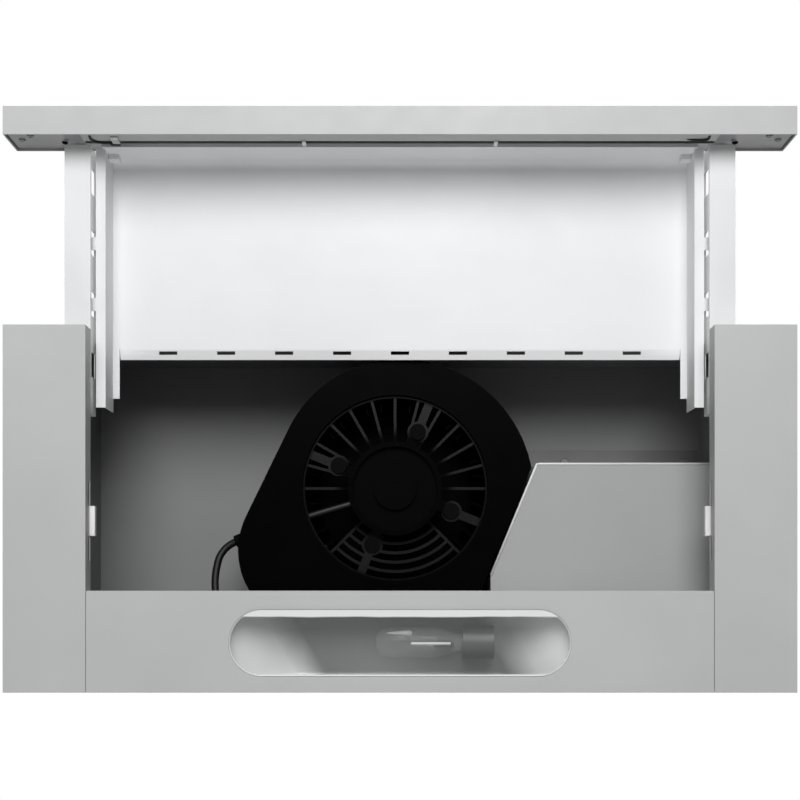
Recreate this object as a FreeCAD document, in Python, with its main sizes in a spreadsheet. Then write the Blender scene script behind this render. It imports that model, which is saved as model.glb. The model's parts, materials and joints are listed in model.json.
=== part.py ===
import FreeCAD, Part

# Slide-out cooker hood for a wall cabinet, drawn with its drawer pulled out and its grease filters off.
#
# The frame's origin is on the outer face of the rear wall, mid-width, level with the underside of the
# cabinet that the hood hangs in. +X is the hood's right as seen from below with the front edge on top,
# +Y runs back to the kitchen wall and +Z is up. All sizes are in millimetres.

import math
import os
import re

import Sketcher

# --------------------------------------------------------------------------------------------------
# Driving dimensions
# --------------------------------------------------------------------------------------------------
SIZES = {
    # Whole hood
    "hood_width": 600.0,
    "hood_depth": 278.0,
    "tray_height": 18.0,
    "case_height": 162.0,
    "steel": 1.0,
    # Underside trim and casing
    "column_width": 62.5,
    "top_flange": 45.0,
    "case_margin": 27.5,
    "case_setback": 2.0,
    "case_foot": 10.0,
    "front_slot": 52.0,
    "panel_gap": 0.3,
    "lamp_strip_depth": 77.0,
    "clip_setback": 119.0,
    "clip_length": 23.0,
    "clip_thick": 2.0,
    "clip_reach": 4.0,
    "clip_slot_length": 19.0,
    "clip_slot_height": 6.0,
    # Lamp
    "window_length": 259.0,
    "window_width": 50.6,
    "window_rear": 12.2,
    "lens_clearance": 0.3,
    "lens_rim": 4.0,
    "lens_thick": 1.5,
    "lens_proud": 0.8,
    "lens_flange": 4.0,
    "housing_margin": 10.5,
    "housing_height": 43.0,
    "bulb_radius": 12.0,
    "bulb_length": 61.0,
    "bulb_level": 5.0,
    "bulb_start": -19.0,
    "base_radius": 7.0,
    "base_length": 22.0,
    "holder_radius": 13.0,
    "holder_length": 24.0,
    # Drawer front bar
    "bar_depth": 21.5,
    "bar_height": 40.0,
    "bar_return": 16.0,
    "bar_gap": 6.0,
    "hem_depth": 2.6,
    "hem_height": 4.0,
    "end_plate_width": 58.0,
    "end_plate_gap": 1.2,
    "end_plate_thick": 2.0,
    "end_plate_recess": 1.5,
    "plate_screw_radius": 1.2,
    "plate_screw_length": 6.0,
    # Drawer travel and pan
    "travel": 143.0,
    "closed_gap": 0.5,
    "plate_level": 45.0,
    "plate_length": 150.9,
    "plate_bend": 8.0,
    "lip_run": 8.1,
    "lip_rise": 3.0,
    "lip_slot_count": 9.0,
    "lip_slot_pitch": 46.4,
    "lip_slot_length": 14.5,
    "lip_slot_width": 2.6,
    "arm_width": 5.1,
    "arm_length": 190.5,
    "rail_length": 201.5,
    "ledge_level": 16.0,
    "ledge_width": 7.4,
    "ledge_gap": 2.2,
    "tab_length": 10.0,
    # Drawer side covers
    "cover_level": 6.0,
    "cover_clearance": 1.5,
    "cover_width": 20.0,
    "cover_length": 194.5,
    "cover_lip": 2.0,
    "web_height": 20.0,
    "web_slot_count": 4.0,
    "web_slot_pitch": 47.4,
    "web_slot_length": 19.0,
    "web_slot_height": 13.0,
    "web_slot_start": 26.5,
    "end_stop_length": 13.0,
    "end_stop_width": 7.0,
    "corner_clip_width": 8.0,
    "corner_clip_height": 10.0,
    "bar_clip_x": 72.0,
    "bar_clip_width": 3.0,
    "bar_clip_depth": 2.0,
    "bar_clip_foot": 3.0,
    # Ball slides
    "slide_level": 9.0,
    "slide_height": 35.0,
    "slide_steel": 1.2,
    "slide_depth": 11.4,
    "slide_lip": 2.3,
    "slide_start": 6.0,
    "slide_length": 200.0,
    "ball_radius": 1.55,
    "ball_clearance": 0.1,
    "ball_pitch": 12.0,
    "ball_count": 4.0,
    "cage_thick": 0.6,
    "cage_length": 48.0,
    # Blower
    "fan_x": -4.0,
    "fan_setback": 118.0,
    "fan_step": 8.0,
    "fan_radius": 100.0,
    "fan_level": 53.0,
    "fan_split": 96.0,
    "fan_top": 140.0,
    "fan_wall": 2.5,
    "fan_rim": 1.5,
    "inlet_radius": 75.0,
    "inlet_bead": 3.5,
    "outlet_radius": 60.0,
    "outlet_x": -68.0,
    "outlet_offset": 50.0,
    "impeller_radius": 78.0,
    "impeller_inner": 64.0,
    "impeller_bottom": 66.0,
    "impeller_height": 64.0,
    "blade_count": 36.0,
    "motor_radius": 38.0,
    "boss_height": 4.0,
    "shaft_sink": 1.0,
    "shaft_end_gap": 0.4,
    "motor_bottom": 60.5,
    "motor_height": 52.0,
    "shaft_radius": 4.0,
    "shaft_clearance": 0.05,
    "mount_circle": 49.0,
    "mount_radius": 6.5,
    "grille_thick": 3.0,
    "rib_width": 2.2,
    "rib_pitch": 15.0,
    "spout_height": 40.0,
    "spout_wall": 2.5,
    "spout_flange": 8.0,
    "flap_thick": 1.2,
    "flap_level": 14.0,
    # Electrics box
    "box_level": 52.0,
    "box_setback": 98.0,
    "box_side_setback": 188.0,
    "box_left": 73.0,
    "box_corner": 110.0,
    "box_flange": 22.0,
    "box_gap": 0.5,
    # Controls
    "button_count": 4.0,
    "button_pitch": 26.0,
    "button_width": 16.0,
    "button_height": 9.0,
    "button_proud": 1.5,
    "button_x": 205.0,
    "button_play": 0.4,
    "button_depth": 5.0,
    "button_frame": 3.0,
    "panel_depth": 8.0,
    "switch_clearance": 1.0,
    "switch_length": 20.0,
    "switch_level": 10.0,
    "switch_height": 16.0,
    "plunger_size": 5.4,
    "plunger_play": 0.3,
    "plunger_proud": 8.0,
    "plunger_inside": 4.5,
    "plunger_travel": 3.5,
    # Fixings
    "bracket_reach": 19.0,
    "bracket_length": 70.0,
    "bracket_level": 96.0,
    "bracket_height": 46.0,
    "bracket_hole_pitch": 44.0,
    "bracket_hole_radius": 2.25,
    "bracket_setback": 139.0,
    "bracket_thick": 1.5,
    "hanger_shank": 1.85,
    "hanger_depth": 14.0,
    "pillar_radius": 7.0,
    "gland_x": 200.0,
    "gland_setback": 60.0,
    "gland_bore": 4.5,
    "gland_thread": 7.9,
    "fixing_clearance": 0.1,
    "cover_screw_radius": 2.05,
    "cover_screw_x": 145.0,
    "cover_screw_pitch": 105.0,
    "lead_radius": 3.0,
    "lead_bend": 0.45,
}

doc = FreeCAD.newDocument("slide_out_hood")
sheet = doc.addObject("Spreadsheet::Sheet", "Sizes")
for row, (alias, value) in enumerate(SIZES.items(), start=1):
    sheet.set(f"A{row}", alias)
    sheet.set(f"B{row}", str(value))
    sheet.setAlias(f"B{row}", alias)
doc.recompute()

WORD = re.compile(r"\b(?!sqrt\b)[a-z][a-z_0-9]*")


def bound(text):
    """The formula with each dimension written as a reference to its sheet cell."""
    return WORD.sub(lambda match: "Sizes." + match.group(0), text)


def size(text):
    """The value of a formula in millimetres, worked out from the sheet."""
    filled = WORD.sub(lambda match: f"({sheet.get(match.group(0))})", text)
    return FreeCAD.Units.Quantity(filled).Value


# --------------------------------------------------------------------------------------------------
# Derived places, as formulas of the sheet's dimensions
# --------------------------------------------------------------------------------------------------
HALF = "(hood_width / 2)"
TRAY = "(-tray_height)"
OPEN = "(hood_width / 2 - column_width)"
CASE = f"({OPEN} + case_margin)"
CASE_IN = f"({CASE} - steel)"
CASE_FRONT = "(-hood_depth + case_setback)"
BAR_REAR = "(-hood_depth - closed_gap - travel)"
BAR_FRONT = f"({BAR_REAR} - bar_depth)"
BAR_TOP = f"({TRAY} + bar_height)"
GAP_LOW = f"({TRAY} + bar_return)"
GAP_TOP = f"({GAP_LOW} + bar_gap)"
WALL_X = f"({OPEN} + cover_clearance - ledge_gap - ledge_width)"
COVER_X = f"({OPEN} + cover_clearance)"
COVER_OUT = f"({COVER_X} + cover_width)"
PLATE_REAR = f"({BAR_REAR} + plate_length)"
COVER_REAR = f"({BAR_REAR} + cover_length)"
SLIDE_X = f"({CASE_IN} - slide_depth)"
SLIDE_TOP = "(slide_level + slide_height)"
INNER_X = f"({SLIDE_X} - 1.1)"
BALL_GAP = "(2 * ball_radius + 2 * ball_clearance)"
INNER_LOW = f"(slide_level + slide_steel + {BALL_GAP})"
INNER_HIGH = f"({SLIDE_TOP} - slide_steel - {BALL_GAP})"
BRACKET_X = f"({INNER_X} - steel)"
FAN_Y = "(-hood_depth + fan_setback)"
OUTLET_Y = f"({FAN_Y} + outlet_offset)"
TOP_IN = "(case_height - steel)"
WINDOW_Y = "(-window_rear - window_width / 2)"
HOUSING_X = "(window_length / 2 + housing_margin)"
LENS_TOP = f"({TRAY} + steel + lens_thick)"
BOX_FRONT = "(-hood_depth + box_setback)"
BOX_SIDE = "(-hood_depth + box_side_setback)"
CLIP_FRONT = "(-clip_setback - clip_length)"
PLATE_FACE = f"({BAR_REAR} - end_plate_recess)"
PLUNGER_TIP = f"({COVER_REAR} + end_stop_length + travel + switch_clearance)"
BUTTON_LEVEL = f"({TRAY} + bar_height / 2)"
BUTTON_ROW = "(button_pitch * button_count / 2)"
BUTTON_REACH = "(button_height / 2 + button_frame)"
PANEL_PLAY = "0.2"

NODES = {}


def node(label, obj):
    """Register an object as one physical piece and label it."""
    obj.Label = label
    NODES[label] = obj
    return obj


# --------------------------------------------------------------------------------------------------
# Sketch and feature helpers
# --------------------------------------------------------------------------------------------------
def origin_feature(body, role):
    return next(feature for feature in body.Origin.OriginFeatures if feature.Role == role)


def plain_body(label):
    return doc.addObject("PartDesign::Body", label)


def new_body(label):
    return node(label, plain_body(label))


def new_sketch(body, name, role, offset="0"):
    """A sketch on one of the body's own planes, moved along the plane's normal by a formula."""
    sketch = body.newObject("Sketcher::SketchObject", name)
    sketch.AttachmentSupport = [(origin_feature(body, role), "")]
    sketch.MapMode = "FlatFace"
    sketch.setExpression("AttachmentOffset.Base.z", bound(offset))
    return sketch


def pin_point(sketch, geometry, end, x, y):
    """Hold one point of a sketch at the place that two formulas give."""
    for kind, text in (("DistanceX", x), ("DistanceY", y)):
        constraint = Sketcher.Constraint(kind, -1, 1, geometry, end, size(text))
        index = sketch.addConstraint(constraint)
        sketch.setExpression(f"Constraints[{index}]", bound(text))


def add_polygon(sketch, outline):
    first = sketch.GeometryCount
    corners = [FreeCAD.Vector(size(x), size(y), 0) for x, y in outline]
    count = len(corners)
    for index, corner in enumerate(corners):
        sketch.addGeometry(Part.LineSegment(corner, corners[(index + 1) % count]))
    for index in range(count):
        following = first + (index + 1) % count
        sketch.addConstraint(Sketcher.Constraint("Coincident", first + index, 2, following, 1))
    for index, (x, y) in enumerate(outline):
        pin_point(sketch, first + index, 1, x, y)


def rectangle(x_low, y_low, x_high, y_high):
    return [(x_low, y_low), (x_high, y_low), (x_high, y_high), (x_low, y_high)]


def add_circle(sketch, x, y, radius):
    centre = FreeCAD.Vector(size(x), size(y), 0)
    index = sketch.addGeometry(Part.Circle(centre, FreeCAD.Vector(0, 0, 1), size(radius)))
    pin_point(sketch, index, 3, x, y)
    held = sketch.addConstraint(Sketcher.Constraint("Radius", index, size(radius)))
    sketch.setExpression(f"Constraints[{held}]", bound(radius))


def add_stadium(sketch, y_centre, length, radius):
    """A slot with round ends along the sketch's first axis, centred on its second axis."""
    reach = f"({length} / 2 - ({radius}))"
    half, middle, bend = size(reach), size(y_centre), size(radius)
    up = FreeCAD.Vector(0, 0, 1)
    right = Part.Circle(FreeCAD.Vector(half, middle, 0), up, bend)
    left = Part.Circle(FreeCAD.Vector(-half, middle, 0), up, bend)
    quarter = math.pi / 2
    sketch.addGeometry(Part.ArcOfCircle(right, -quarter, quarter))
    sketch.addGeometry(
        Part.LineSegment(
            FreeCAD.Vector(half, middle + bend, 0), FreeCAD.Vector(-half, middle + bend, 0)
        )
    )
    sketch.addGeometry(Part.ArcOfCircle(left, quarter, 3 * quarter))
    sketch.addGeometry(
        Part.LineSegment(
            FreeCAD.Vector(-half, middle - bend, 0), FreeCAD.Vector(half, middle - bend, 0)
        )
    )
    for first, second in ((0, 1), (1, 2), (2, 3), (3, 0)):
        sketch.addConstraint(Sketcher.Constraint("Tangent", first, 2, second, 1))
    pin_point(sketch, 0, 3, reach, y_centre)
    pin_point(sketch, 2, 3, f"-{reach}", y_centre)
    held = sketch.addConstraint(Sketcher.Constraint("Radius", 0, bend))
    sketch.setExpression(f"Constraints[{held}]", bound(radius))


def extrude(body, kind, sketch, length, reverse=False, middle=False):
    """A pad or a pocket of the sketch: one way along its normal, or half each way."""
    feature = body.newObject(f"PartDesign::{kind}", f"{sketch.Name}_{kind.lower()}")
    feature.Profile = sketch
    feature.Refine = True
    feature.setExpression("Length", bound(length))
    if middle:
        feature.SideType = "Symmetric"
    feature.Reversed = reverse
    return feature


def pad_polygon(body, name, role, outline, length, offset="0", reverse=False):
    sketch = new_sketch(body, name, role, offset)
    add_polygon(sketch, outline)
    return extrude(body, "Pad", sketch, length, reverse)


def pocket_polygon(body, name, role, outline, length, offset="0"):
    """A cut that reaches half its length to each side of the sketch."""
    sketch = new_sketch(body, name, role, offset)
    add_polygon(sketch, outline)
    return extrude(body, "Pocket", sketch, length, middle=True)


def pocket_circle(body, name, role, x, y, radius, length, offset="0"):
    sketch = new_sketch(body, name, role, offset)
    add_circle(sketch, x, y, radius)
    return extrude(body, "Pocket", sketch, length, middle=True)


def repeat(body, feature, axis, pitch, count, backwards=False):
    """Copies of a feature in a row along one of the body's axes."""
    pattern = body.newObject("PartDesign::LinearPattern", f"{feature.Name}_row")
    pattern.Originals = [feature]
    pattern.Direction = (origin_feature(body, axis), [""])
    pattern.Mode = "Spacing"
    pattern.setExpression("Offset", bound(pitch))
    pattern.setExpression("Occurrences", bound(count))
    pattern.Reversed = backwards
    body.Tip = pattern
    return pattern


def revolve(label, outline, base=("0", "0", "0"), turn=None):
    """A turned piece: the outline gives radius and height, and the piece stands on its base."""
    body = new_body(label)
    sketch = new_sketch(body, f"{label}_profile", "XZ_Plane")
    add_polygon(sketch, outline)
    turned = body.newObject("PartDesign::Revolution", f"{label}_turned")
    turned.Profile = sketch
    turned.ReferenceAxis = (sketch, ["V_Axis"])
    turned.Angle = 360
    if turn:
        body.Placement.Rotation = turn
    for axis, text in zip("xyz", base):
        body.setExpression(f"Placement.Base.{axis}", bound(text))
    return body


def box(name, low, high):
    """A primitive box between two corners whose coordinates are formulas."""
    block = doc.addObject("Part::Box", name)
    for axis, side, start, end in zip("xyz", ("Length", "Width", "Height"), low, high):
        block.setExpression(f"Placement.Base.{axis}", bound(start))
        block.setExpression(side, bound(f"({end}) - ({start})"))
    return block


def cylinder(name, base, radius, height, turn=None):
    drum = doc.addObject("Part::Cylinder", name)
    if turn:
        drum.Placement.Rotation = turn
    for axis, text in zip("xyz", base):
        drum.setExpression(f"Placement.Base.{axis}", bound(text))
    drum.setExpression("Radius", bound(radius))
    drum.setExpression("Height", bound(height))
    return drum


def fuse(label, pieces):
    joined = doc.addObject("Part::MultiFuse", label)
    joined.Shapes = pieces
    joined.Refine = True
    return joined


def cut(label, base, tool):
    rest = doc.addObject("Part::Cut", label)
    rest.Base = base
    rest.Tool = tool
    rest.Refine = True
    return rest


def compound(label, pieces):
    """Separate identical pieces that share one node."""
    group = doc.addObject("Part::Compound", label)
    group.Links = pieces
    return node(label, group)


def shaped(label, shape):
    """A piece whose outline no sketch feature fits: its shape is set directly."""
    piece = doc.addObject("Part::Feature", label)
    piece.Shape = shape
    return node(label, piece)


def vector(x, y, z):
    return FreeCAD.Vector(x, y, z)


ALONG_X = FreeCAD.Rotation(FreeCAD.Vector(0, 1, 0), 90)
SIDES = (("left", "-1"), ("right", "1"))


def on_side(sign, text):
    return f"{sign} * ({text})"


def side_span(sign, low, high):
    """Lower and upper x of a block that lies between two distances from mid-width."""
    near, far = on_side(sign, low), on_side(sign, high)
    return (near, far) if sign == "1" else (far, near)


# --------------------------------------------------------------------------------------------------
# Casing and underside trim
# --------------------------------------------------------------------------------------------------
def casing_panels():
    """Five welded sheets: rear wall with its apron, front wall, top panel and two footed side walls."""
    reach = CASE_IN
    rear_wall = box("rear_wall", (f"-{reach}", "-steel", "0"), (reach, "0", TOP_IN))
    apron = box(
        "rear_apron",
        (f"-{OPEN} + panel_gap + steel", "-steel", f"{TRAY} + steel"),
        (f"{OPEN} - panel_gap - steel", "0", "0"),
    )
    node("casing_rear", fuse("casing_rear", [rear_wall, apron]))
    front_low, front_high = (f"-{reach}", CASE_FRONT, "front_slot"), (reach, f"{CASE_FRONT} + steel", TOP_IN)
    node("casing_front", box("front_wall", front_low, front_high))
    for side, sign in SIDES:
        wall = side_span(sign, CASE_IN, CASE)
        foot = side_span(sign, f"{CASE_IN} - case_foot", CASE_IN)
        sheet_wall = box(f"wall_{side}", (wall[0], CASE_FRONT, "0"), (wall[1], "0", "case_height"))
        sheet_foot = box(f"foot_{side}", (foot[0], CASE_FRONT, "0"), (foot[1], "-steel", "steel"))
        node(f"casing_{side}", fuse(f"casing_{side}", [sheet_wall, sheet_foot]))
    panel = box("top_panel", (f"-{reach}", CASE_FRONT, TOP_IN), (reach, "0", "case_height"))
    under = f"({TOP_IN} - steel)"
    gland = ("gland_x", "-gland_setback", under)
    holes = [
        cylinder("outlet_hole", ("outlet_x", OUTLET_Y, under), "outlet_radius - spout_wall", "3 * steel"),
        cylinder("gland_hole", gland, "gland_thread + fixing_clearance", "3 * steel"),
    ]
    for index, (x, y) in enumerate(HANGER_PLACES):
        holes.append(cylinder(f"hanger_hole_{index}", (x, y, under), "hanger_shank + 0.35", "3 * steel"))
    node("casing_top", cut("casing_top", panel, fuse("casing_holes", holes)))


def flange_column(side, sign):
    """Folded trim that faces down beside the opening; its upper flange carries the casing."""
    body = new_body(f"flange_column_{side}")
    section = [
        (OPEN, "0"),
        (OPEN, TRAY),
        (HALF, TRAY),
        (HALF, "0"),
        (f"{HALF} - top_flange", "0"),
        (f"{HALF} - top_flange", "-steel"),
        (f"{HALF} - steel", "-steel"),
        (f"{HALF} - steel", f"{TRAY} + steel"),
        (f"{OPEN} + steel", f"{TRAY} + steel"),
        (f"{OPEN} + steel", "0"),
    ]
    outline = [(on_side(sign, x), z) for x, z in section]
    pad_polygon(body, f"column_section_{side}", "XZ_Plane", outline, "hood_depth")
    end = side_span(sign, f"{OPEN} + steel / 2", f"{HALF} - steel / 2")
    closing = rectangle(end[0], f"{TRAY} + steel / 2", end[1], "-steel / 2")
    pad_polygon(body, f"column_front_{side}", "XZ_Plane", closing, "steel", "hood_depth - steel")
    pad_polygon(body, f"column_rear_{side}", "XZ_Plane", closing, "steel")
    lip_middle = on_side(sign, f"{OPEN} + steel / 2")
    for index, start in enumerate((f"{CLIP_FRONT} - clip_slot_length", "-clip_setback")):
        slot = rectangle(start, "-1.5 - clip_slot_height", f"{start} + clip_slot_length", "-1.5")
        pocket_polygon(body, f"lip_slot_{side}_{index}", "YZ_Plane", slot, "4 * steel", lip_middle)


def filter_clip(side, sign):
    """Plastic catch over the column's inner lip, which holds the edge of a filter."""
    inner = side_span(sign, f"{OPEN} - clip_reach", OPEN)
    bridge = side_span(sign, f"{OPEN} - clip_reach", f"{OPEN} + steel + clip_thick")
    outer = side_span(sign, f"{OPEN} + steel", f"{OPEN} + steel + clip_thick")
    front, rear = CLIP_FRONT, "-clip_setback"
    blocks = [
        box(f"clip_pad_{side}", (inner[0], front, "-clip_reach"), (inner[1], rear, "clip_thick")),
        box(f"clip_bridge_{side}", (bridge[0], front, "0"), (bridge[1], rear, "clip_thick")),
        box(f"clip_leg_{side}", (outer[0], front, "-2 * clip_reach"), (outer[1], rear, "clip_thick")),
    ]
    return fuse(f"filter_clip_{side}", blocks)


def lamp_panel():
    """Rear strip of the underside with the lamp window, folded up on three sides."""
    body = new_body("lamp_panel")
    reach = f"({OPEN} - panel_gap)"
    front = "(-lamp_strip_depth)"
    floor = rectangle(f"-{reach}", front, reach, "0")
    pad_polygon(body, "panel_floor", "XY_Plane", floor, "steel", TRAY)
    lip = rectangle(f"-{reach}", front, reach, f"{front} + steel")
    pad_polygon(body, "panel_front_lip", "XY_Plane", lip, "tray_height - steel", TRAY)
    for side, sign in SIDES:
        span = side_span(sign, f"{reach} - steel", reach)
        edge = rectangle(span[0], front, span[1], "-steel - 0.2")
        pad_polygon(body, f"panel_side_lip_{side}", "XY_Plane", edge, "tray_height - steel", TRAY)
    window = new_sketch(body, "panel_window", "XY_Plane", TRAY)
    add_stadium(window, WINDOW_Y, "window_length", "(window_width / 2)")
    extrude(body, "Pocket", window, "4 * steel", middle=True)


def lamp_lens():
    """Clear moulded tray dropped into the window from above: rim, thin floor and hidden flange."""
    body = new_body("lamp_lens")
    inset = "lens_clearance"
    window = "(window_width / 2)"
    floor = "1.4"
    solid = new_sketch(body, "lens_outline", "XY_Plane", f"{TRAY} - lens_proud")
    add_stadium(solid, WINDOW_Y, f"(window_length - 2 * {inset})", f"({window} - {inset})")
    extrude(body, "Pad", solid, "lens_proud + steel + lens_thick")
    flange = new_sketch(body, "lens_flange_outline", "XY_Plane", f"{TRAY} + steel")
    add_stadium(flange, WINDOW_Y, "(window_length + 2 * lens_flange)", f"({window} + lens_flange)")
    extrude(body, "Pad", flange, "lens_thick")
    hollow = new_sketch(body, "lens_hollow", "XY_Plane", LENS_TOP)
    add_stadium(hollow, WINDOW_Y, "(window_length - 2 * lens_rim)", f"({window} - lens_rim)")
    depth = f"2 * (steel + lens_thick + lens_proud - {floor})"
    extrude(body, "Pocket", hollow, depth, middle=True)


def lamp_housing():
    """Pressed steel reflector box over the window, open below."""
    front, rear = f"{WINDOW_Y} - window_width / 2 - housing_margin + 1.5", "-3.2"
    top = f"({TRAY} + steel + housing_height)"
    outer = box("housing_outside", (f"-{HOUSING_X}", front, f"{TRAY} + steel"), (HOUSING_X, rear, top))
    hollow = box(
        "housing_inside",
        (f"-{HOUSING_X} + steel", f"{front} + steel", f"{TRAY}"),
        (f"{HOUSING_X} - steel", f"{rear} - steel", f"{top} - steel"),
    )
    node("lamp_housing", cut("lamp_housing", outer, hollow))


def lamp_bulb_and_holder():
    """Tubular bulb lying lengthwise behind the window, in a moulded holder on an angled foot."""
    bulb_end = "(bulb_start + bulb_length)"
    glass = [
        ("0", "0"),
        ("bulb_radius * 0.55", "1"),
        ("bulb_radius * 0.88", "5"),
        ("bulb_radius", "12"),
        ("bulb_radius", "bulb_length - 14"),
        ("bulb_radius * 0.8", "bulb_length - 5"),
        ("base_radius", "bulb_length"),
        ("base_radius", "bulb_length + base_length"),
        ("0", "bulb_length + base_length"),
    ]
    revolve("lamp_bulb", glass, ("bulb_start", WINDOW_Y, "bulb_level"), ALONG_X)
    start = f"({bulb_end} + 6)"
    top = f"({TRAY} + steel + housing_height - steel)"
    axis = (start, WINDOW_Y, "bulb_level")
    drum = cylinder("holder_drum", axis, "holder_radius", "holder_length", ALONG_X)
    foot = box(
        "holder_foot",
        (f"{start} + holder_length - 4", f"{WINDOW_Y} - 10", "bulb_level"),
        (f"{start} + holder_length", f"{WINDOW_Y} + 10", top),
    )
    depth = f"{bulb_end} + base_length - {start}"
    socket = cylinder("holder_socket", axis, "base_radius", depth, ALONG_X)
    node("lamp_holder", cut("lamp_holder", fuse("holder_block", [drum, foot]), socket))


def cabinet_bracket(side, sign):
    """Adjustable fixing bracket on the casing wall, screwed to the cabinet's side."""
    body = new_body(f"cabinet_bracket_{side}")
    near, far = CASE, f"({CASE} + bracket_reach)"
    low, high = "bracket_level", "(bracket_level + bracket_height)"
    section = [
        (near, low),
        (f"{near} + bracket_thick", low),
        (f"{near} + bracket_thick", f"{high} - bracket_thick"),
        (f"{far} - bracket_thick", f"{high} - bracket_thick"),
        (f"{far} - bracket_thick", low),
        (far, low),
        (far, high),
        (near, high),
    ]
    outline = [(on_side(sign, x), z) for x, z in section]
    start = "(bracket_setback - bracket_length / 2)"
    pad_polygon(body, f"bracket_section_{side}", "XZ_Plane", outline, "bracket_length", start)
    hole = pocket_circle(
        body,
        f"bracket_hole_{side}",
        "YZ_Plane",
        "-bracket_setback - bracket_hole_pitch / 2",
        f"{low} + bracket_height / 2",
        "bracket_hole_radius",
        "4 * bracket_thick",
        on_side(sign, f"{far} - bracket_thick / 2"),
    )
    repeat(body, hole, "Y_Axis", "bracket_hole_pitch", "2")


# --------------------------------------------------------------------------------------------------
# Drawer
# --------------------------------------------------------------------------------------------------
def drawer_bar():
    """Channel across the front: closed ends, open at the rear between two folded returns."""
    body = new_body("drawer_bar")
    front, rear = BAR_FRONT, BAR_REAR
    section = [
        (front, TRAY),
        (rear, TRAY),
        (rear, GAP_LOW),
        (f"{rear} - steel", GAP_LOW),
        (f"{rear} - steel", f"{TRAY} + steel"),
        (f"{front} + steel", f"{TRAY} + steel"),
        (f"{front} + steel", f"{BAR_TOP} - steel"),
        (f"{rear} - steel", f"{BAR_TOP} - steel"),
        (f"{rear} - steel", GAP_TOP),
        (rear, GAP_TOP),
        (rear, BAR_TOP),
        (front, BAR_TOP),
    ]
    pad_polygon(body, "bar_section", "YZ_Plane", section, "hood_width", f"-{HALF}")
    inner = f"({HALF} - end_plate_width)"
    for side, sign in SIDES:
        span = side_span(sign, f"{HALF} - steel", HALF)
        closing = rectangle(f"{front} + steel / 2", f"{TRAY} + steel / 2", rear, f"{BAR_TOP} - steel / 2")
        pad_polygon(body, f"bar_end_{side}", "YZ_Plane", closing, "steel", span[0])
        opened = side_span(sign, inner, f"{HALF} - steel")
        window = rectangle(opened[0], f"{TRAY} + steel", opened[1], f"{BAR_TOP} - steel")
        pocket_polygon(body, f"bar_rear_opening_{side}", "XZ_Plane", window, "2.2 * steel", f"-{rear}")
    panel = rectangle(
        f"button_x - {BUTTON_ROW}",
        f"{BUTTON_LEVEL} - {BUTTON_REACH}",
        f"button_x + {BUTTON_ROW}",
        f"{BUTTON_LEVEL} + {BUTTON_REACH}",
    )
    pocket_polygon(body, "bar_button_slot", "XZ_Plane", panel, "2.2 * steel", f"-{front}")


# Distances of the end plates' screws from the bar's end, and their heights above its underside.
PLATE_SCREWS = (("10.2", "17"), ("19", "7.5"))


def end_plate(side, sign):
    """Grey plate in the rear of the bar beside the drawer, with two screw holes and a locating hole."""
    body = plain_body(f"end_plate_{side}")
    span = side_span(sign, f"{HALF} - end_plate_width + 0.2", f"{HALF} - steel - end_plate_gap")
    outline = rectangle(span[0], f"{TRAY} + steel + 0.2", span[1], f"{BAR_TOP} - steel - 0.2")
    face = f"-{PLATE_FACE}"
    through = "4 * end_plate_thick"
    pad_polygon(body, f"end_plate_outline_{side}", "XZ_Plane", outline, "end_plate_thick", face)
    locating = on_side(sign, f"{HALF} - 44")
    pocket_circle(body, f"locating_hole_{side}", "XZ_Plane", locating, "0", "1.8", through, face)
    for index, (inset, rise) in enumerate(PLATE_SCREWS):
        x, z = on_side(sign, f"{HALF} - {inset}"), f"{TRAY} + {rise}"
        radius = "plate_screw_radius + fixing_clearance"
        pocket_circle(body, f"screw_hole_{side}_{index}", "XZ_Plane", x, z, radius, through, face)
    return body


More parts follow.
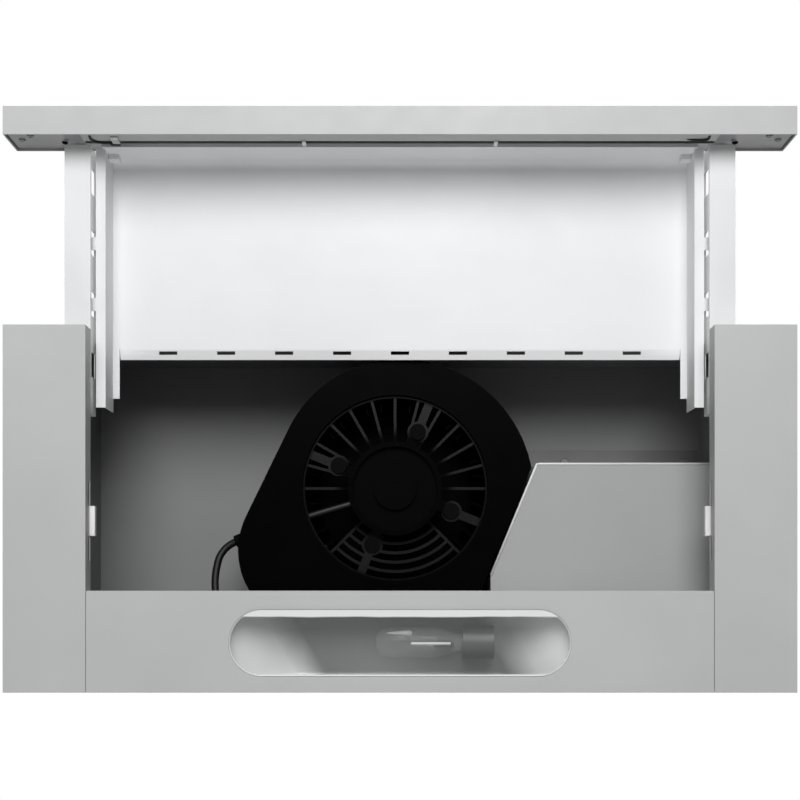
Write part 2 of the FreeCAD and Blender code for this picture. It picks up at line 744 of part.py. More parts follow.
def drawer_pan():
    """Folded pan: roof, hemmed front bend, side walls, filter ledges, rear arms and a slotted lip."""
    body = new_body("drawer_pan")
    wall, ledge = WALL_X, f"({WALL_X} + ledge_width)"
    top, low = "(plate_level + steel)", "ledge_level"
    right = [
        (f"{wall} + steel", top),
        (f"{wall} + steel", f"{low} + steel"),
        (ledge, f"{low} + steel"),
        (ledge, low),
        (wall, low),
        (wall, "plate_level"),
    ]
    left = [(f"-({x})", z) for x, z in reversed(right)]
    pad_polygon(body, "pan_section", "XZ_Plane", right + left, "rail_length", f"-{BAR_REAR} - rail_length")
    inner = f"({wall} - arm_width)"
    gap_rear = f"({BAR_REAR} + rail_length + 1)"
    opening = rectangle(f"-{inner}", PLATE_REAR, inner, gap_rear)
    pocket_polygon(body, "pan_rear_opening", "XY_Plane", opening, "6 * steel", "plate_level")
    arm_end = f"({BAR_REAR} + arm_length)"
    for side, sign in SIDES:
        span = side_span(sign, f"{inner} - 1", f"{wall}")
        trim = rectangle(span[0], arm_end, span[1], gap_rear)
        pocket_polygon(body, f"pan_arm_end_{side}", "XY_Plane", trim, "6 * steel", "plate_level")
    bend_rear = f"({BAR_REAR} + plate_bend)"
    corner = rectangle(f"-{wall}", f"{BAR_REAR} - 1", wall, bend_rear)
    pocket_polygon(body, "pan_bend_relief", "XY_Plane", corner, "6 * steel", "plate_level")
    bend = new_sketch(body, "pan_front_bend", "YZ_Plane", f"-{wall}")
    add_bend(bend, BAR_REAR, GAP_TOP, bend_rear, top)
    extrude(body, "Pad", bend, f"2 * {wall}")
    inside = f"({BAR_REAR} + steel / 2)"
    hem = rectangle(inside, GAP_TOP, f"{BAR_REAR} + hem_depth", f"{GAP_TOP} + hem_height")
    pad_polygon(body, "pan_hem", "YZ_Plane", hem, f"2 * {wall}", f"-{wall}")
    lip_rear = f"({PLATE_REAR} + lip_run)"
    lip = [
        (PLATE_REAR, "plate_level"),
        (lip_rear, "plate_level + lip_rise"),
        (lip_rear, "plate_level + lip_rise + steel"),
        (PLATE_REAR, top),
    ]
    pad_polygon(body, "pan_lip", "YZ_Plane", lip, f"2 * {inner} - 0.4", f"-{inner} + 0.2")
    middle = f"({PLATE_REAR} + lip_run * 0.36)"
    slot = rectangle(
        "-lip_slot_pitch * (lip_slot_count - 1) / 2 - lip_slot_length / 2",
        f"{middle} - lip_slot_width / 2",
        "-lip_slot_pitch * (lip_slot_count - 1) / 2 + lip_slot_length / 2",
        f"{middle} + lip_slot_width / 2",
    )
    cutter = pocket_polygon(body, "pan_lip_slot", "XY_Plane", slot, "10 * steel", "plate_level")
    repeat(body, cutter, "X_Axis", "lip_slot_pitch", "lip_slot_count")
    for side, sign in SIDES:
        for index in (1, 2):
            centre = f"({BAR_REAR} + web_slot_start + {index} * web_slot_pitch)"
            span = side_span(sign, f"{ledge} - 0.5", f"{COVER_X} + steel + 1")
            tab = rectangle(span[0], f"{centre} - tab_length / 2", span[1], f"{centre} + tab_length / 2")
            pad_polygon(body, f"pan_tab_{side}_{index}", "XY_Plane", tab, "steel", "ledge_level")


def add_bend(sketch, y_front, z_low, y_flat, z_top):
    """Cross-section of a sheet that rises from z_low and bends back to lie under z_top."""
    outer, thick = size("plate_bend"), size("steel")
    front, flat, low, top = size(y_front), size(y_flat), size(z_low), size(z_top)
    centre = FreeCAD.Vector(flat, top - outer, 0)
    up = FreeCAD.Vector(0, 0, 1)
    inner = outer - thick
    quarter = math.pi / 2
    outer_arc = Part.ArcOfCircle(Part.Circle(centre, up, outer), quarter, 2 * quarter)
    inner_arc = Part.ArcOfCircle(Part.Circle(centre, up, inner), quarter, 2 * quarter)
    outer_wall = Part.LineSegment(FreeCAD.Vector(front, top - outer, 0), FreeCAD.Vector(front, low, 0))
    bottom = Part.LineSegment(FreeCAD.Vector(front, low, 0), FreeCAD.Vector(front + thick, low, 0))
    inner_wall = Part.LineSegment(
        FreeCAD.Vector(front + thick, low, 0), FreeCAD.Vector(front + thick, top - outer, 0)
    )
    end = Part.LineSegment(FreeCAD.Vector(flat, top - thick, 0), FreeCAD.Vector(flat, top, 0))
    for edge in (outer_arc, outer_wall, bottom, inner_wall, inner_arc, end):
        sketch.addGeometry(edge)
    joints = ((0, 2, 1, 1), (1, 2, 2, 1), (2, 2, 3, 1), (3, 2, 4, 2), (4, 1, 5, 1), (5, 2, 0, 1))
    for first, first_end, second, second_end in joints:
        sketch.addConstraint(Sketcher.Constraint("Coincident", first, first_end, second, second_end))
    pin_point(sketch, 0, 3, y_flat, f"{z_top} - plate_bend")
    pin_point(sketch, 4, 3, y_flat, f"{z_top} - plate_bend")
    pin_point(sketch, 1, 2, y_front, z_low)
    pin_point(sketch, 2, 2, f"{y_front} + steel", z_low)
    pin_point(sketch, 5, 1, y_flat, f"{z_top} - steel")
    pin_point(sketch, 5, 2, y_flat, z_top)
    sketch.addConstraint(Sketcher.Constraint("Horizontal", 0, 2, 0, 3))
    sketch.addConstraint(Sketcher.Constraint("Horizontal", 4, 2, 4, 3))


def side_cover(side, sign):
    """White channel beside the drawer that hides the ball slide; its inner web is slotted."""
    body = new_body(f"side_cover_{side}")
    floor, web_top = "cover_level", "(cover_level + web_height)"
    section = [
        (COVER_X, web_top),
        (COVER_X, floor),
        (COVER_OUT, floor),
        (COVER_OUT, f"{floor} + cover_lip"),
        (f"{COVER_OUT} - steel", f"{floor} + cover_lip"),
        (f"{COVER_OUT} - steel", f"{floor} + steel"),
        (f"{COVER_X} + steel", f"{floor} + steel"),
        (f"{COVER_X} + steel", web_top),
    ]
    outline = [(on_side(sign, x), z) for x, z in section]
    pad_polygon(
        body, f"cover_section_{side}", "XZ_Plane", outline, "cover_length", f"-{BAR_REAR} - cover_length"
    )
    start = f"({BAR_REAR} + web_slot_start)"
    middle = "(ledge_level + steel / 2)"
    slot = rectangle(
        f"{start} - web_slot_length / 2",
        f"{middle} - web_slot_height / 2",
        f"{start} + web_slot_length / 2",
        f"{middle} + web_slot_height / 2",
    )
    cutter = pocket_polygon(
        body, f"web_slot_{side}", "YZ_Plane", slot, "4 * steel", on_side(sign, f"{COVER_X} + steel / 2")
    )
    repeat(body, cutter, "Y_Axis", "web_slot_pitch", "web_slot_count")


def slide_bracket(side, sign):
    """Steel angle on the cover's floor that carries the moving member of the ball slide."""
    body = plain_body(f"slide_bracket_{side}")
    low = "(cover_level + steel)"
    section = [
        (f"{BRACKET_X} - 6", low),
        (INNER_X, low),
        (INNER_X, f"{INNER_HIGH}"),
        (BRACKET_X, f"{INNER_HIGH}"),
        (BRACKET_X, f"{low} + steel"),
        (f"{BRACKET_X} - 6", f"{low} + steel"),
    ]
    outline = [(on_side(sign, x), z) for x, z in section]
    front = f"-{BAR_REAR} - cover_length"
    pad_polygon(body, f"bracket_angle_{side}", "XZ_Plane", outline, "cover_length", front)
    return body


def end_stops():
    """White caps over the rear ends of both side covers."""
    blocks = []
    for side, sign in SIDES:
        span = side_span(sign, COVER_X, f"{COVER_X} + end_stop_width")
        blocks.append(
            box(
                f"end_stop_{side}",
                (span[0], COVER_REAR, "cover_level"),
                (span[1], f"{COVER_REAR} + end_stop_length", "cover_level + web_height"),
            )
        )
    compound("drawer_end_stops", blocks)


def corner_clips():
    """White clips in the two front corners of the pan, which hold the drawer's filter."""
    blocks = []
    top = "(plate_level + steel - plate_bend - 2)"
    for side, sign in SIDES:
        span = side_span(sign, f"{WALL_X} - corner_clip_width", WALL_X)
        low = (span[0], f"{BAR_REAR} + steel", f"{top} - corner_clip_height")
        high = (span[1], f"{BAR_REAR} + steel + 4", top)
        blocks.append(box(f"corner_clip_{side}", low, high))
    compound("corner_clips", blocks)


def bar_clips():
    """Small clips that bridge the gap between the bar's lower return and the pan's hem."""
    clips = []
    for side, sign in SIDES:
        near, far = side_span(sign, "bar_clip_x", "bar_clip_x + bar_clip_width")
        low = (near, BAR_REAR, f"{GAP_LOW} - bar_clip_foot")
        clips.append(box(f"bar_clip_{side}", low, (far, f"{BAR_REAR} + bar_clip_depth", GAP_TOP)))
    compound("bar_clips", clips)


# --------------------------------------------------------------------------------------------------
# Ball slides
# --------------------------------------------------------------------------------------------------
SLIDE_FRONT = f"({CASE_FRONT} + slide_start)"


def slide_fixed(side, sign):
    """Outer member, fastened to the casing wall."""
    body = new_body(f"slide_fixed_{side}")
    near, far, low, high = SLIDE_X, CASE_IN, "slide_level", SLIDE_TOP
    section = [
        (far, low),
        (far, high),
        (near, high),
        (near, f"{high} - slide_steel - slide_lip"),
        (f"{near} + slide_steel", f"{high} - slide_steel - slide_lip"),
        (f"{near} + slide_steel", f"{high} - slide_steel"),
        (f"{far} - slide_steel", f"{high} - slide_steel"),
        (f"{far} - slide_steel", f"{low} + slide_steel"),
        (f"{near} + slide_steel", f"{low} + slide_steel"),
        (f"{near} + slide_steel", f"{low} + slide_steel + slide_lip"),
        (near, f"{low} + slide_steel + slide_lip"),
        (near, low),
    ]
    outline = [(on_side(sign, x), z) for x, z in section]
    pad_polygon(
        body, f"fixed_member_{side}", "XZ_Plane", outline, "slide_length", f"-{SLIDE_FRONT} - slide_length"
    )


def slide_moving(side, sign):
    """Inner member, fastened to the drawer's bracket."""
    body = new_body(f"slide_moving_{side}")
    near, far = INNER_X, f"({CASE_IN} - 3.5)"
    section = [
        (near, INNER_LOW),
        (far, INNER_LOW),
        (far, f"{INNER_LOW} + slide_steel"),
        (f"{near} + slide_steel", f"{INNER_LOW} + slide_steel"),
        (f"{near} + slide_steel", f"{INNER_HIGH} - slide_steel"),
        (far, f"{INNER_HIGH} - slide_steel"),
        (far, INNER_HIGH),
        (near, INNER_HIGH),
    ]
    outline = [(on_side(sign, x), z) for x, z in section]
    rear = f"-{SLIDE_FRONT} - slide_length + travel"
    pad_polygon(body, f"moving_member_{side}", "XZ_Plane", outline, "slide_length", rear)


def ball_cage(side, sign):
    """Cage with a row of balls above and below the inner member, midway between both members."""
    near, far = f"({CASE_IN} - 9.5)", f"({CASE_IN} - 2.1)"
    low = "(slide_level + slide_steel + ball_clearance + ball_radius)"
    high = f"({SLIDE_TOP} - slide_steel - ball_clearance - ball_radius)"
    middle = f"({SLIDE_FRONT} + (slide_length - travel) / 2)"
    front, rear = f"{middle} - cage_length / 2", f"{middle} + cage_length / 2"
    half = "cage_thick / 2"
    span = side_span(sign, near, far)
    web = side_span(sign, f"{far} - cage_thick", far)
    under_low, over_low = f"{low} - {half}", f"{low} + {half}"
    under_high, over_high = f"{high} - {half}", f"{high} + {half}"
    strips = fuse(
        f"cage_strips_{side}",
        [
            box(f"cage_low_{side}", (span[0], front, under_low), (span[1], rear, over_low)),
            box(f"cage_high_{side}", (span[0], front, under_high), (span[1], rear, over_high)),
            box(f"cage_web_{side}", (web[0], front, under_low), (web[1], rear, over_high)),
        ],
    )
    ball_x = on_side(sign, f"{CASE_IN} - 7")
    holes = []
    balls = []
    for index in range(int(size("ball_count"))):
        y = f"({middle} + ({index} - (ball_count - 1) / 2) * ball_pitch)"
        holes.append(
            cylinder(
                f"cage_hole_{side}_{index}",
                (ball_x, y, "slide_level"),
                "ball_radius + ball_clearance",
                "slide_height",
            )
        )
        for row, level in (("low", low), ("high", high)):
            balls.append(ball(f"ball_{side}_{row}_{index}", (ball_x, y, level)))
    label = f"ball_cage_{side}"
    node(label, cut(label, strips, fuse(f"cage_holes_{side}", holes)))
    compound(f"slide_balls_{side}", balls)


def ball(name, centre):
    sphere = doc.addObject("Part::Sphere", name)
    for axis, text in zip("xyz", centre):
        sphere.setExpression(f"Placement.Base.{axis}", bound(text))
    sphere.setExpression("Radius", bound("ball_radius"))
    return sphere


# --------------------------------------------------------------------------------------------------
# Blower
# --------------------------------------------------------------------------------------------------
def line_at(start, end, inset):
    """A line as unit normal and distance, moved by an inset against its normal."""
    along = (end - start).normalize()
    normal = vector(along.y, -along.x, 0)
    return normal, normal.dot(start) - inset


def chord_point(centre, radius, normal, distance, forward):
    """Where a line crosses a circle: the crossing further along the line, or the earlier one."""
    away = distance - normal.dot(centre)
    along = vector(-normal.y, normal.x, 0)
    reach = math.sqrt(radius**2 - away**2)
    return centre + normal * away + along * (reach if forward else -reach)


def outer_tangent(first, first_radius, second, second_radius, side):
    """Touching points of the outer tangent of two circles on the stated side of their centre line."""
    gap = second - first
    spread = math.acos((first_radius - second_radius) / gap.Length)
    angle = math.atan2(gap.y, gap.x) + side * spread
    direction = vector(math.cos(angle), math.sin(angle), 0)
    return first + direction * first_radius, second + direction * second_radius


def arc_between(start, centre, radius, end):
    """Arc about a centre, run anticlockwise from start to end."""
    first = math.atan2(start.y - centre.y, start.x - centre.x)
    last = math.atan2(end.y - centre.y, end.x - centre.x)
    while last <= first:
        last += 2 * math.pi
    half = (first + last) / 2
    middle = centre + vector(math.cos(half), math.sin(half), 0) * radius
    return Part.Arc(start, middle, end).toShape()


def scroll_face(inset, level):
    """Outline of the blower seen from above: a three-centre volute, a flat beside the electrics box
    and the round outlet, joined by common tangents. A positive inset draws it inside the wall."""
    axis = vector(size("fan_x"), size(FAN_Y), 0)
    step, least = size("fan_step"), size("fan_radius")
    centres = [
        axis + vector(step / 2, -step / 2, 0),
        axis + vector(step / 2, step / 2, 0),
        axis + vector(-step / 2, step / 2, 0),
    ]
    radii = [least - inset, least + step - inset, least + 2 * step - inset]
    outlet = vector(size("outlet_x"), size(OUTLET_Y), 0)
    outlet_radius = size("outlet_radius + spout_wall") - inset
    box_front = vector(size("box_corner"), size(BOX_FRONT), 0)
    box_rear = vector(size("box_left"), size(BOX_SIDE), 0)
    normal, distance = line_at(box_front, box_rear, size("fan_rim + box_gap + 0.5") + inset)
    flat_start = chord_point(centres[1], radii[1], normal, distance, False)
    flat_end = chord_point(centres[2], radii[2], normal, distance, True)
    outlet_touch, left_touch = outer_tangent(outlet, outlet_radius, centres[0], radii[0], -1)
    rear_touch, outlet_rear = outer_tangent(centres[2], radii[2], outlet, outlet_radius, -1)
    bottom = centres[0] + vector(0, -radii[0], 0)
    edges = [
        Part.LineSegment(outlet_touch, left_touch).toShape(),
        arc_between(left_touch, centres[0], radii[0], bottom),
        arc_between(bottom, centres[1], radii[1], flat_start),
        Part.LineSegment(flat_start, flat_end).toShape(),
        arc_between(flat_end, centres[2], radii[2], rear_touch),
        Part.LineSegment(rear_touch, outlet_rear).toShape(),
        arc_between(outlet_rear, outlet, outlet_radius, outlet_touch),
    ]
    wire = Part.Wire(edges)
    wire.translate(vector(0, 0, level))
    return Part.Face(wire)


def prism(inset, low, high):
    return scroll_face(inset, low).extrude(vector(0, 0, high - low))


def drum_at(x, y, low, high, radius):
    return Part.makeCylinder(radius, high - low, vector(x, y, low))


def hanger_centres():
    return [vector(size(x), size(y), 0) for x, y in HANGER_PLACES]


HANGER_PLACES = (
    ("fan_x + 76", f"{FAN_Y} - 46"),
    ("fan_x - 46", f"{FAN_Y} - 78"),
    ("fan_x + 34", f"{FAN_Y} + 84"),
)


def scroll_lower_shell():
    """Lower half of the blower casing, with the round inlet in its floor and a bead round the inlet."""
    low, high, wall, rim = (size(n) for n in ("fan_level", "fan_split", "fan_wall", "fan_rim"))
    axis_x, axis_y = size("fan_x"), size(FAN_Y)
    inlet, bead = size("inlet_radius"), size("inlet_bead")
    shell = prism(0, low, high).fuse(prism(-rim, high - 2, high))
    shell = shell.fuse(drum_at(axis_x, axis_y, low - 1, low, inlet + bead))
    shell = shell.cut(prism(wall, low + wall, high + 1))
    shell = shell.cut(drum_at(axis_x, axis_y, low - 2, low + wall + 1, inlet))
    shell = shell.cut(grommet_hole())
    return shaped("scroll_lower_shell", shell.removeSplitter())


def scroll_upper_shell():
    """Upper half of the blower casing with the round outlet and three pillars up to the top panel."""
    split, top, wall, rim = (size(n) for n in ("fan_split", "fan_top", "fan_wall", "fan_rim"))
    roof = size(TOP_IN)
    x, y, radius = size("outlet_x"), size(OUTLET_Y), size("outlet_radius + spout_wall")
    shell = prism(0, split, top).fuse(prism(-rim, split, split + 2))
    shell = shell.fuse(drum_at(x, y, split, roof, radius))
    for centre in hanger_centres():
        shell = shell.fuse(drum_at(centre.x, centre.y, top - 1, roof, size("pillar_radius")))
    shell = shell.cut(prism(wall, split - 1, top - wall))
    shell = shell.cut(drum_at(x, y, split - 1, roof + 1, radius - wall))
    bore, floor = size("hanger_shank") + 0.05, size("case_height - hanger_depth") - 3
    for centre in hanger_centres():
        shell = shell.cut(drum_at(centre.x, centre.y, floor, roof + 1, bore))
    return shaped("scroll_upper_shell", shell.removeSplitter())


def polar(radius, degrees, z=0.0):
    """Point about the fan's axis; the angle runs from +X towards +Y."""
    angle = math.radians(degrees)
    return vector(
        size("fan_x") + radius * math.cos(angle), size(FAN_Y) + radius * math.sin(angle), z
    )


def spoke(inner, outer, degrees, width, low, high):
    block = Part.makeBox(outer - inner, width, high - low, vector(inner, -width / 2, low))
    block.rotate(vector(0, 0, 0), vector(0, 0, 1), degrees)
    block.translate(polar(0, 0))
    return block


def ring_at(inner, outer, low, high):
    x, y = size("fan_x"), size(FAN_Y)
    return drum_at(x, y, low, high, outer).cut(drum_at(x, y, low - 1, high + 1, inner))


MOUNT_ANGLES = (-68, 22, 112, -158)


def inlet_grille():
    """Spider across the inlet: spokes to the front, rings to the rear, and a plate for the motor."""
    thick, width = size("grille_thick"), size("rib_width")
    low = size("fan_level + fan_wall") + 0.05
    high = low + thick
    inlet = size("inlet_radius")
    hub = size("mount_circle")
    flange = ring_at(inlet - 2, inlet + 4, low, high)
    pieces = [ring_at(size("motor_radius") - 4, size("motor_radius"), low, high)]
    pieces += [drum_at(*polar(hub, a)[:2], low, high, size("mount_radius + 2")) for a in MOUNT_ANGLES]
    pieces += [spoke(size("motor_radius") - 2, inlet, a, 7, low, high) for a in MOUNT_ANGLES]
    rib_angles = [-180 + size("rib_pitch") * k for k in range(int(180 / size("rib_pitch")) + 1)]
    pieces += [spoke(size("motor_radius") - 2, inlet, a, width, low, high) for a in rib_angles]
    pieces += [spoke(size("motor_radius") - 2, inlet, a, width, low, high) for a in (45, 135)]
    rear = Part.makeCylinder(inlet - 1, high - low, polar(0, 0, low), vector(0, 0, 1), 90)
    rear.rotate(polar(0, 0, low), vector(0, 0, 1), 45)
    for radius in (44.5, 52.0, 59.5, 67.0):
        pieces.append(ring_at(radius - 1.2, radius + 1.2, low, high).common(rear))
    grille = flange.multiFuse(pieces)
    for angle in MOUNT_ANGLES:
        grille = grille.cut(drum_at(*polar(hub, angle)[:2], low - 1, high + 1, 3.2))
    return shaped("inlet_grille", grille.removeSplitter())


def motor():
    """Outer can of the fan motor, its spindle hole closed below, and four ears that sit on rubbers."""
    radius, bottom, height = size("motor_radius"), size("motor_bottom"), size("motor_height")
    x, y = size("fan_x"), size(FAN_Y)
    can = drum_at(x, y, bottom, bottom + height, radius)
    can = can.fuse(drum_at(x, y, bottom - size("boss_height"), bottom, radius * 0.45))
    can = can.fuse(drum_at(x, y, bottom + height, bottom + height + 4, radius * 0.35))
    for angle in MOUNT_ANGLES:
        ear_low = bottom + 0.5
        can = can.fuse(spoke(radius - 4, size("mount_circle"), angle, 12, ear_low, ear_low + 2.5))
        can = can.fuse(drum_at(*polar(size("mount_circle"), angle)[:2], ear_low, ear_low + 2.5, 6))
    for angle in MOUNT_ANGLES:
        can = can.cut(drum_at(*polar(size("mount_circle"), angle)[:2], bottom - 5, bottom + 5, 3.2))
    bore_low = size("motor_bottom - shaft_sink - shaft_end_gap")
    can = can.cut(drum_at(x, y, bore_low, bottom + height + 10, size("shaft_radius + shaft_clearance")))
    return shaped("motor", can.removeSplitter())


def motor_rubbers():
    """Four rubber bobbins between the motor's ears and the spider."""
    grille_top = size("fan_level + fan_wall + grille_thick") + 0.05
    ear_low = size("motor_bottom") + 0.5
    ear_top = ear_low + 2.5
    bobbins = []
    for angle in MOUNT_ANGLES:
        x, y = polar(size("mount_circle"), angle)[:2]
        outer = size("mount_radius")
        bobbin = drum_at(x, y, grille_top, ear_low, outer)
        bobbin = bobbin.fuse(drum_at(x, y, grille_top - 5, ear_top + 3, 3.2))
        bobbin = bobbin.fuse(drum_at(x, y, ear_top, ear_top + 3, outer))
        bobbin = bobbin.fuse(drum_at(x, y, grille_top - 6, grille_top - size("grille_thick"), outer))
        bobbins.append(bobbin.removeSplitter())
    return shaped("motor_rubbers", Part.makeCompound(bobbins))


def motor_shaft():
    low, high = "(motor_bottom - shaft_sink)", "(impeller_bottom + impeller_height + 3)"
    outline = [
        ("0", "0"),
        ("shaft_radius - 0.6", "0"),
        ("shaft_radius", "0.6"),
        ("shaft_radius", f"{high} - {low}"),
        ("0", f"{high} - {low}"),
    ]
    revolve("motor_shaft", outline, ("fan_x", FAN_Y, low))


def impeller():
    """Drum impeller: forward-curved blades between a back plate with a hub and a bottom ring."""
    inner, outer = size("impeller_inner"), size("impeller_radius")
    low, top = size("impeller_bottom"), size("impeller_bottom + impeller_height")
    x, y = size("fan_x"), size(FAN_Y)
    wheel = drum_at(x, y, top - 2, top, outer)
    wheel = wheel.fuse(drum_at(x, y, top - 8, top, 14)).fuse(ring_at(outer - 5, outer, low, low + 3))
    count = int(size("blade_count"))
    start, end = polar(inner, 0), polar(outer - 1, 6)
    chord = end - start
    bulge = (start + end) * 0.5 + vector(chord.y, -chord.x, 0) * 0.22
    lift = vector(0, 0, low + 1)
    thick = vector(0, 1.0, 0)
    outline = Part.Wire(
        [
            Part.Arc(start + lift, bulge + lift, end + lift).toShape(),
            Part.LineSegment(end + lift, end + thick + lift).toShape(),
            Part.Arc(end + thick + lift, bulge + thick + lift, start + thick + lift).toShape(),
            Part.LineSegment(start + thick + lift, start + lift).toShape(),
        ]
    )
    blade = Part.Face(outline).extrude(vector(0, 0, top - low - 2))
    blades = []
    for index in range(count):
        copy = blade.copy()
        copy.rotate(polar(0, 0), vector(0, 0, 1), 360.0 * index / count)
        blades.append(copy)
    wheel = wheel.multiFuse(blades)
    wheel = wheel.cut(drum_at(x, y, low - 5, top + 5, size("shaft_radius")))
    return shaped("impeller", wheel)


def shell_clips():
    """Spring clips that hold the two halves of the blower casing together."""
    rim = size("fan_rim")
    split = size("fan_split")
    edge = prism(-rim - 1.4, split - 6, split + 6).cut(prism(-rim, split - 7, split + 7))
    clips = []
    for angle in (-172, -148, -118, -62, -18, 110):
        window = spoke(70, 140, angle, 9, split - 5, split + 5)
        clip = edge.common(window)
        clips += clip.Solids
    return shaped("shell_clips", Part.makeCompound(clips))


def outlet_spout():
    """Round plastic spigot on the top panel: flange, tube and the ledge that the flaps rest on."""
    outer, inner = "outlet_radius", "(outlet_radius - spout_wall)"
    ledge = "(flap_level - 0.2)"
    outline = [
        (inner, "0"),
        ("outlet_radius + spout_flange", "0"),
        ("outlet_radius + spout_flange", "2"),
        (outer, "2"),
        (outer, "spout_height"),
        (inner, "spout_height"),
        (inner, ledge),
        (f"{inner} - 2", ledge),
        (f"{inner} - 2", f"{ledge} - 2"),
        (inner, f"{ledge} - 2"),
    ]
    body = revolve("outlet_spout", outline, ("outlet_x", OUTLET_Y, "case_height"))
    through = "2 * outlet_radius + 4"
    for index, x in enumerate(("-3.4", "3.4")):
        pocket_circle(body, f"pivot_hole_{index}", "XZ_Plane", x, "flap_level + 2.6", "1.55", through)


def damper_flap(side, sign):
    """Half-round flap on its own spindle; two of them close the spout when the fan is off."""
    radius = size("outlet_radius - spout_wall") - 0.8
    level = size("case_height + flap_level + flap_thick")
    thick = size("flap_thick")
    spindle_level = size("case_height + flap_level") + 2.6
    x, y = size("outlet_x"), size(OUTLET_Y)
    way = float(sign)
    pivot = x + way * 3.4
    disc = drum_at(x, y, level - thick + 0.1, level + 0.1, radius)
    keep = Part.makeBox(radius, 2 * radius, 10, vector(0, -radius, level - 5))
    keep.translate(vector(x + (way * 2.2 if way > 0 else -radius - 2.2), y, 0))
    flap = disc.common(keep)
    reach = radius - 2
    rib_low = level - 0.4
    rib = Part.makeBox(2.4, 2 * reach, spindle_level - rib_low, vector(pivot - 1.2, y - reach, rib_low))
    long_reach = size("outlet_radius") - 0.6
    spindle = Part.makeCylinder(
        1.5, 2 * long_reach, vector(pivot, y - long_reach, spindle_level), vector(0, 1, 0)
    )
    return shaped(f"damper_flap_{side}", flap.fuse(rib).fuse(spindle).removeSplitter())


# --------------------------------------------------------------------------------------------------
# Electrics
# --------------------------------------------------------------------------------------------------
def electrics_cover():
    """Painted sheet box at the rear right, open above, hung from the top panel by a front flange."""
    body = new_body("electrics_cover")
    right = f"({CASE_IN} - box_gap)"
    rear = "(-steel - box_gap)"
    outline = [
        ("box_left", BOX_SIDE),
        ("box_corner", BOX_FRONT),
        (right, BOX_FRONT),
        (right, rear),
        ("box_left", rear),
    ]
    pad_polygon(body, "cover_outline", "XY_Plane", outline, f"{TOP_IN} - box_level", "box_level")
    run, rise = "(box_corner - box_left)", "(box_side_setback - box_setback)"
    slant = f"sqrt({run} * {run} + {rise} * {rise})"
    hollow = [
        ("box_left + steel", f"{BOX_SIDE} + steel * ({slant} - {rise}) / {run}"),
        (f"box_corner + steel * ({slant} - {run}) / {rise}", f"{BOX_FRONT} + steel"),
        (f"{right} - steel", f"{BOX_FRONT} + steel"),
        (f"{right} - steel", f"{rear} - steel"),
        ("box_left + steel", f"{rear} - steel"),
    ]
    depth = f"2 * ({TOP_IN} - box_level - steel)"
    pocket_polygon(body, "cover_hollow", "XY_Plane", hollow, depth, TOP_IN)
    flange_front = f"{BOX_FRONT} - box_flange"
    flange = rectangle("box_corner + 1", flange_front, f"{right} - 1", f"{BOX_FRONT} + steel / 2")
    pad_polygon(body, "cover_flange", "XY_Plane", flange, "steel", f"{TOP_IN} - steel")
    hole = pocket_circle(
        body,
        "cover_hole",
        "XY_Plane",
        "cover_screw_x",
        f"{BOX_FRONT} - box_flange / 2",
        "cover_screw_radius + fixing_clearance / 2",
        "6 * steel",
        TOP_IN,
    )
    repeat(body, hole, "X_Axis", "cover_screw_pitch", "2")
    entry = LEAD_ROUTE[-1]
    pocket_circle(
        body,
        "cover_lead_hole",
        "YZ_Plane",
        str(entry[1]),
        str(entry[2]),
        f"lead_radius + {GROMMET_WALL}",
        "4 * steel",
        "box_left + steel / 2",
    )


def screw_shape(head_radius, head_height, shank_radius, length):
    """Pan-head screw, head down, with a cross recess; the head's seat is at z = 0."""
    head = Part.makeCylinder(head_radius, head_height, vector(0, 0, -head_height))
    edges = [edge for edge in head.Edges if abs(edge.CenterOfMass.z + head_height) < 0.01]
    head = head.makeFillet(head_height * 0.45, edges)
    slot_length = head_radius * 1.2
    corner = vector(-slot_length / 2, -0.4, -head_height - 0.1)
    for degrees in (20, 110):
        recess = Part.makeBox(slot_length, 0.8, 1.0, corner)
        recess.rotate(vector(0, 0, 0), vector(0, 0, 1), degrees)
        head = head.cut(recess)
    return head.fuse(Part.makeCylinder(shank_radius, length, vector(0, 0, 0)))


def screw_group(label, shape, seats, axis=(0, 0, 1)):
    """One screw at each seat; axis is the way the shank points."""
    turn = FreeCAD.Rotation(vector(0, 0, 1), vector(*axis))
    copies = []
    for seat in seats:
        copy = shape.copy()
        copy.Placement = FreeCAD.Placement(seat, turn)
        copies.append(copy)
    return shaped(label, Part.makeCompound(copies))


def electrics_screws():
    """Two screws up through the box's flange, with collars that fill the flange holes."""
    seat = size(TOP_IN) - size("steel")
    y = size(f"{BOX_FRONT} - box_flange / 2")
    first, pitch = size("cover_screw_x"), size("cover_screw_pitch")
    screw = screw_shape(3.8, 2.4, size("cover_screw_radius"), size("steel"))
    screw_group("electrics_screws", screw, [vector(first + pitch * k, y, seat) for k in range(2)])


def hanger_screws():
    """Three screws from above through the top panel into the blower's pillars."""
    screw = screw_shape(4.2, 2.4, size("hanger_shank"), size("hanger_depth"))
    seats = [centre + vector(0, 0, size("case_height")) for centre in hanger_centres()]
    screw_group("hanger_screws", screw, seats, (0, 0, -1))


def bar_screws():
    """Small screws in the end plates behind the bar."""
    face = size(PLATE_FACE)
    screw = screw_shape(2.6, 1.2, size("plate_screw_radius"), size("plate_screw_length"))
    seats = []
    for _, sign in SIDES:
        for inset, rise in PLATE_SCREWS:
            x, z = size(on_side(sign, f"{HALF} - {inset}")), size(f"{TRAY} + {rise}")
            seats.append(vector(x, face, z))
    screw_group("bar_screws", screw, seats, (0, -1, 0))


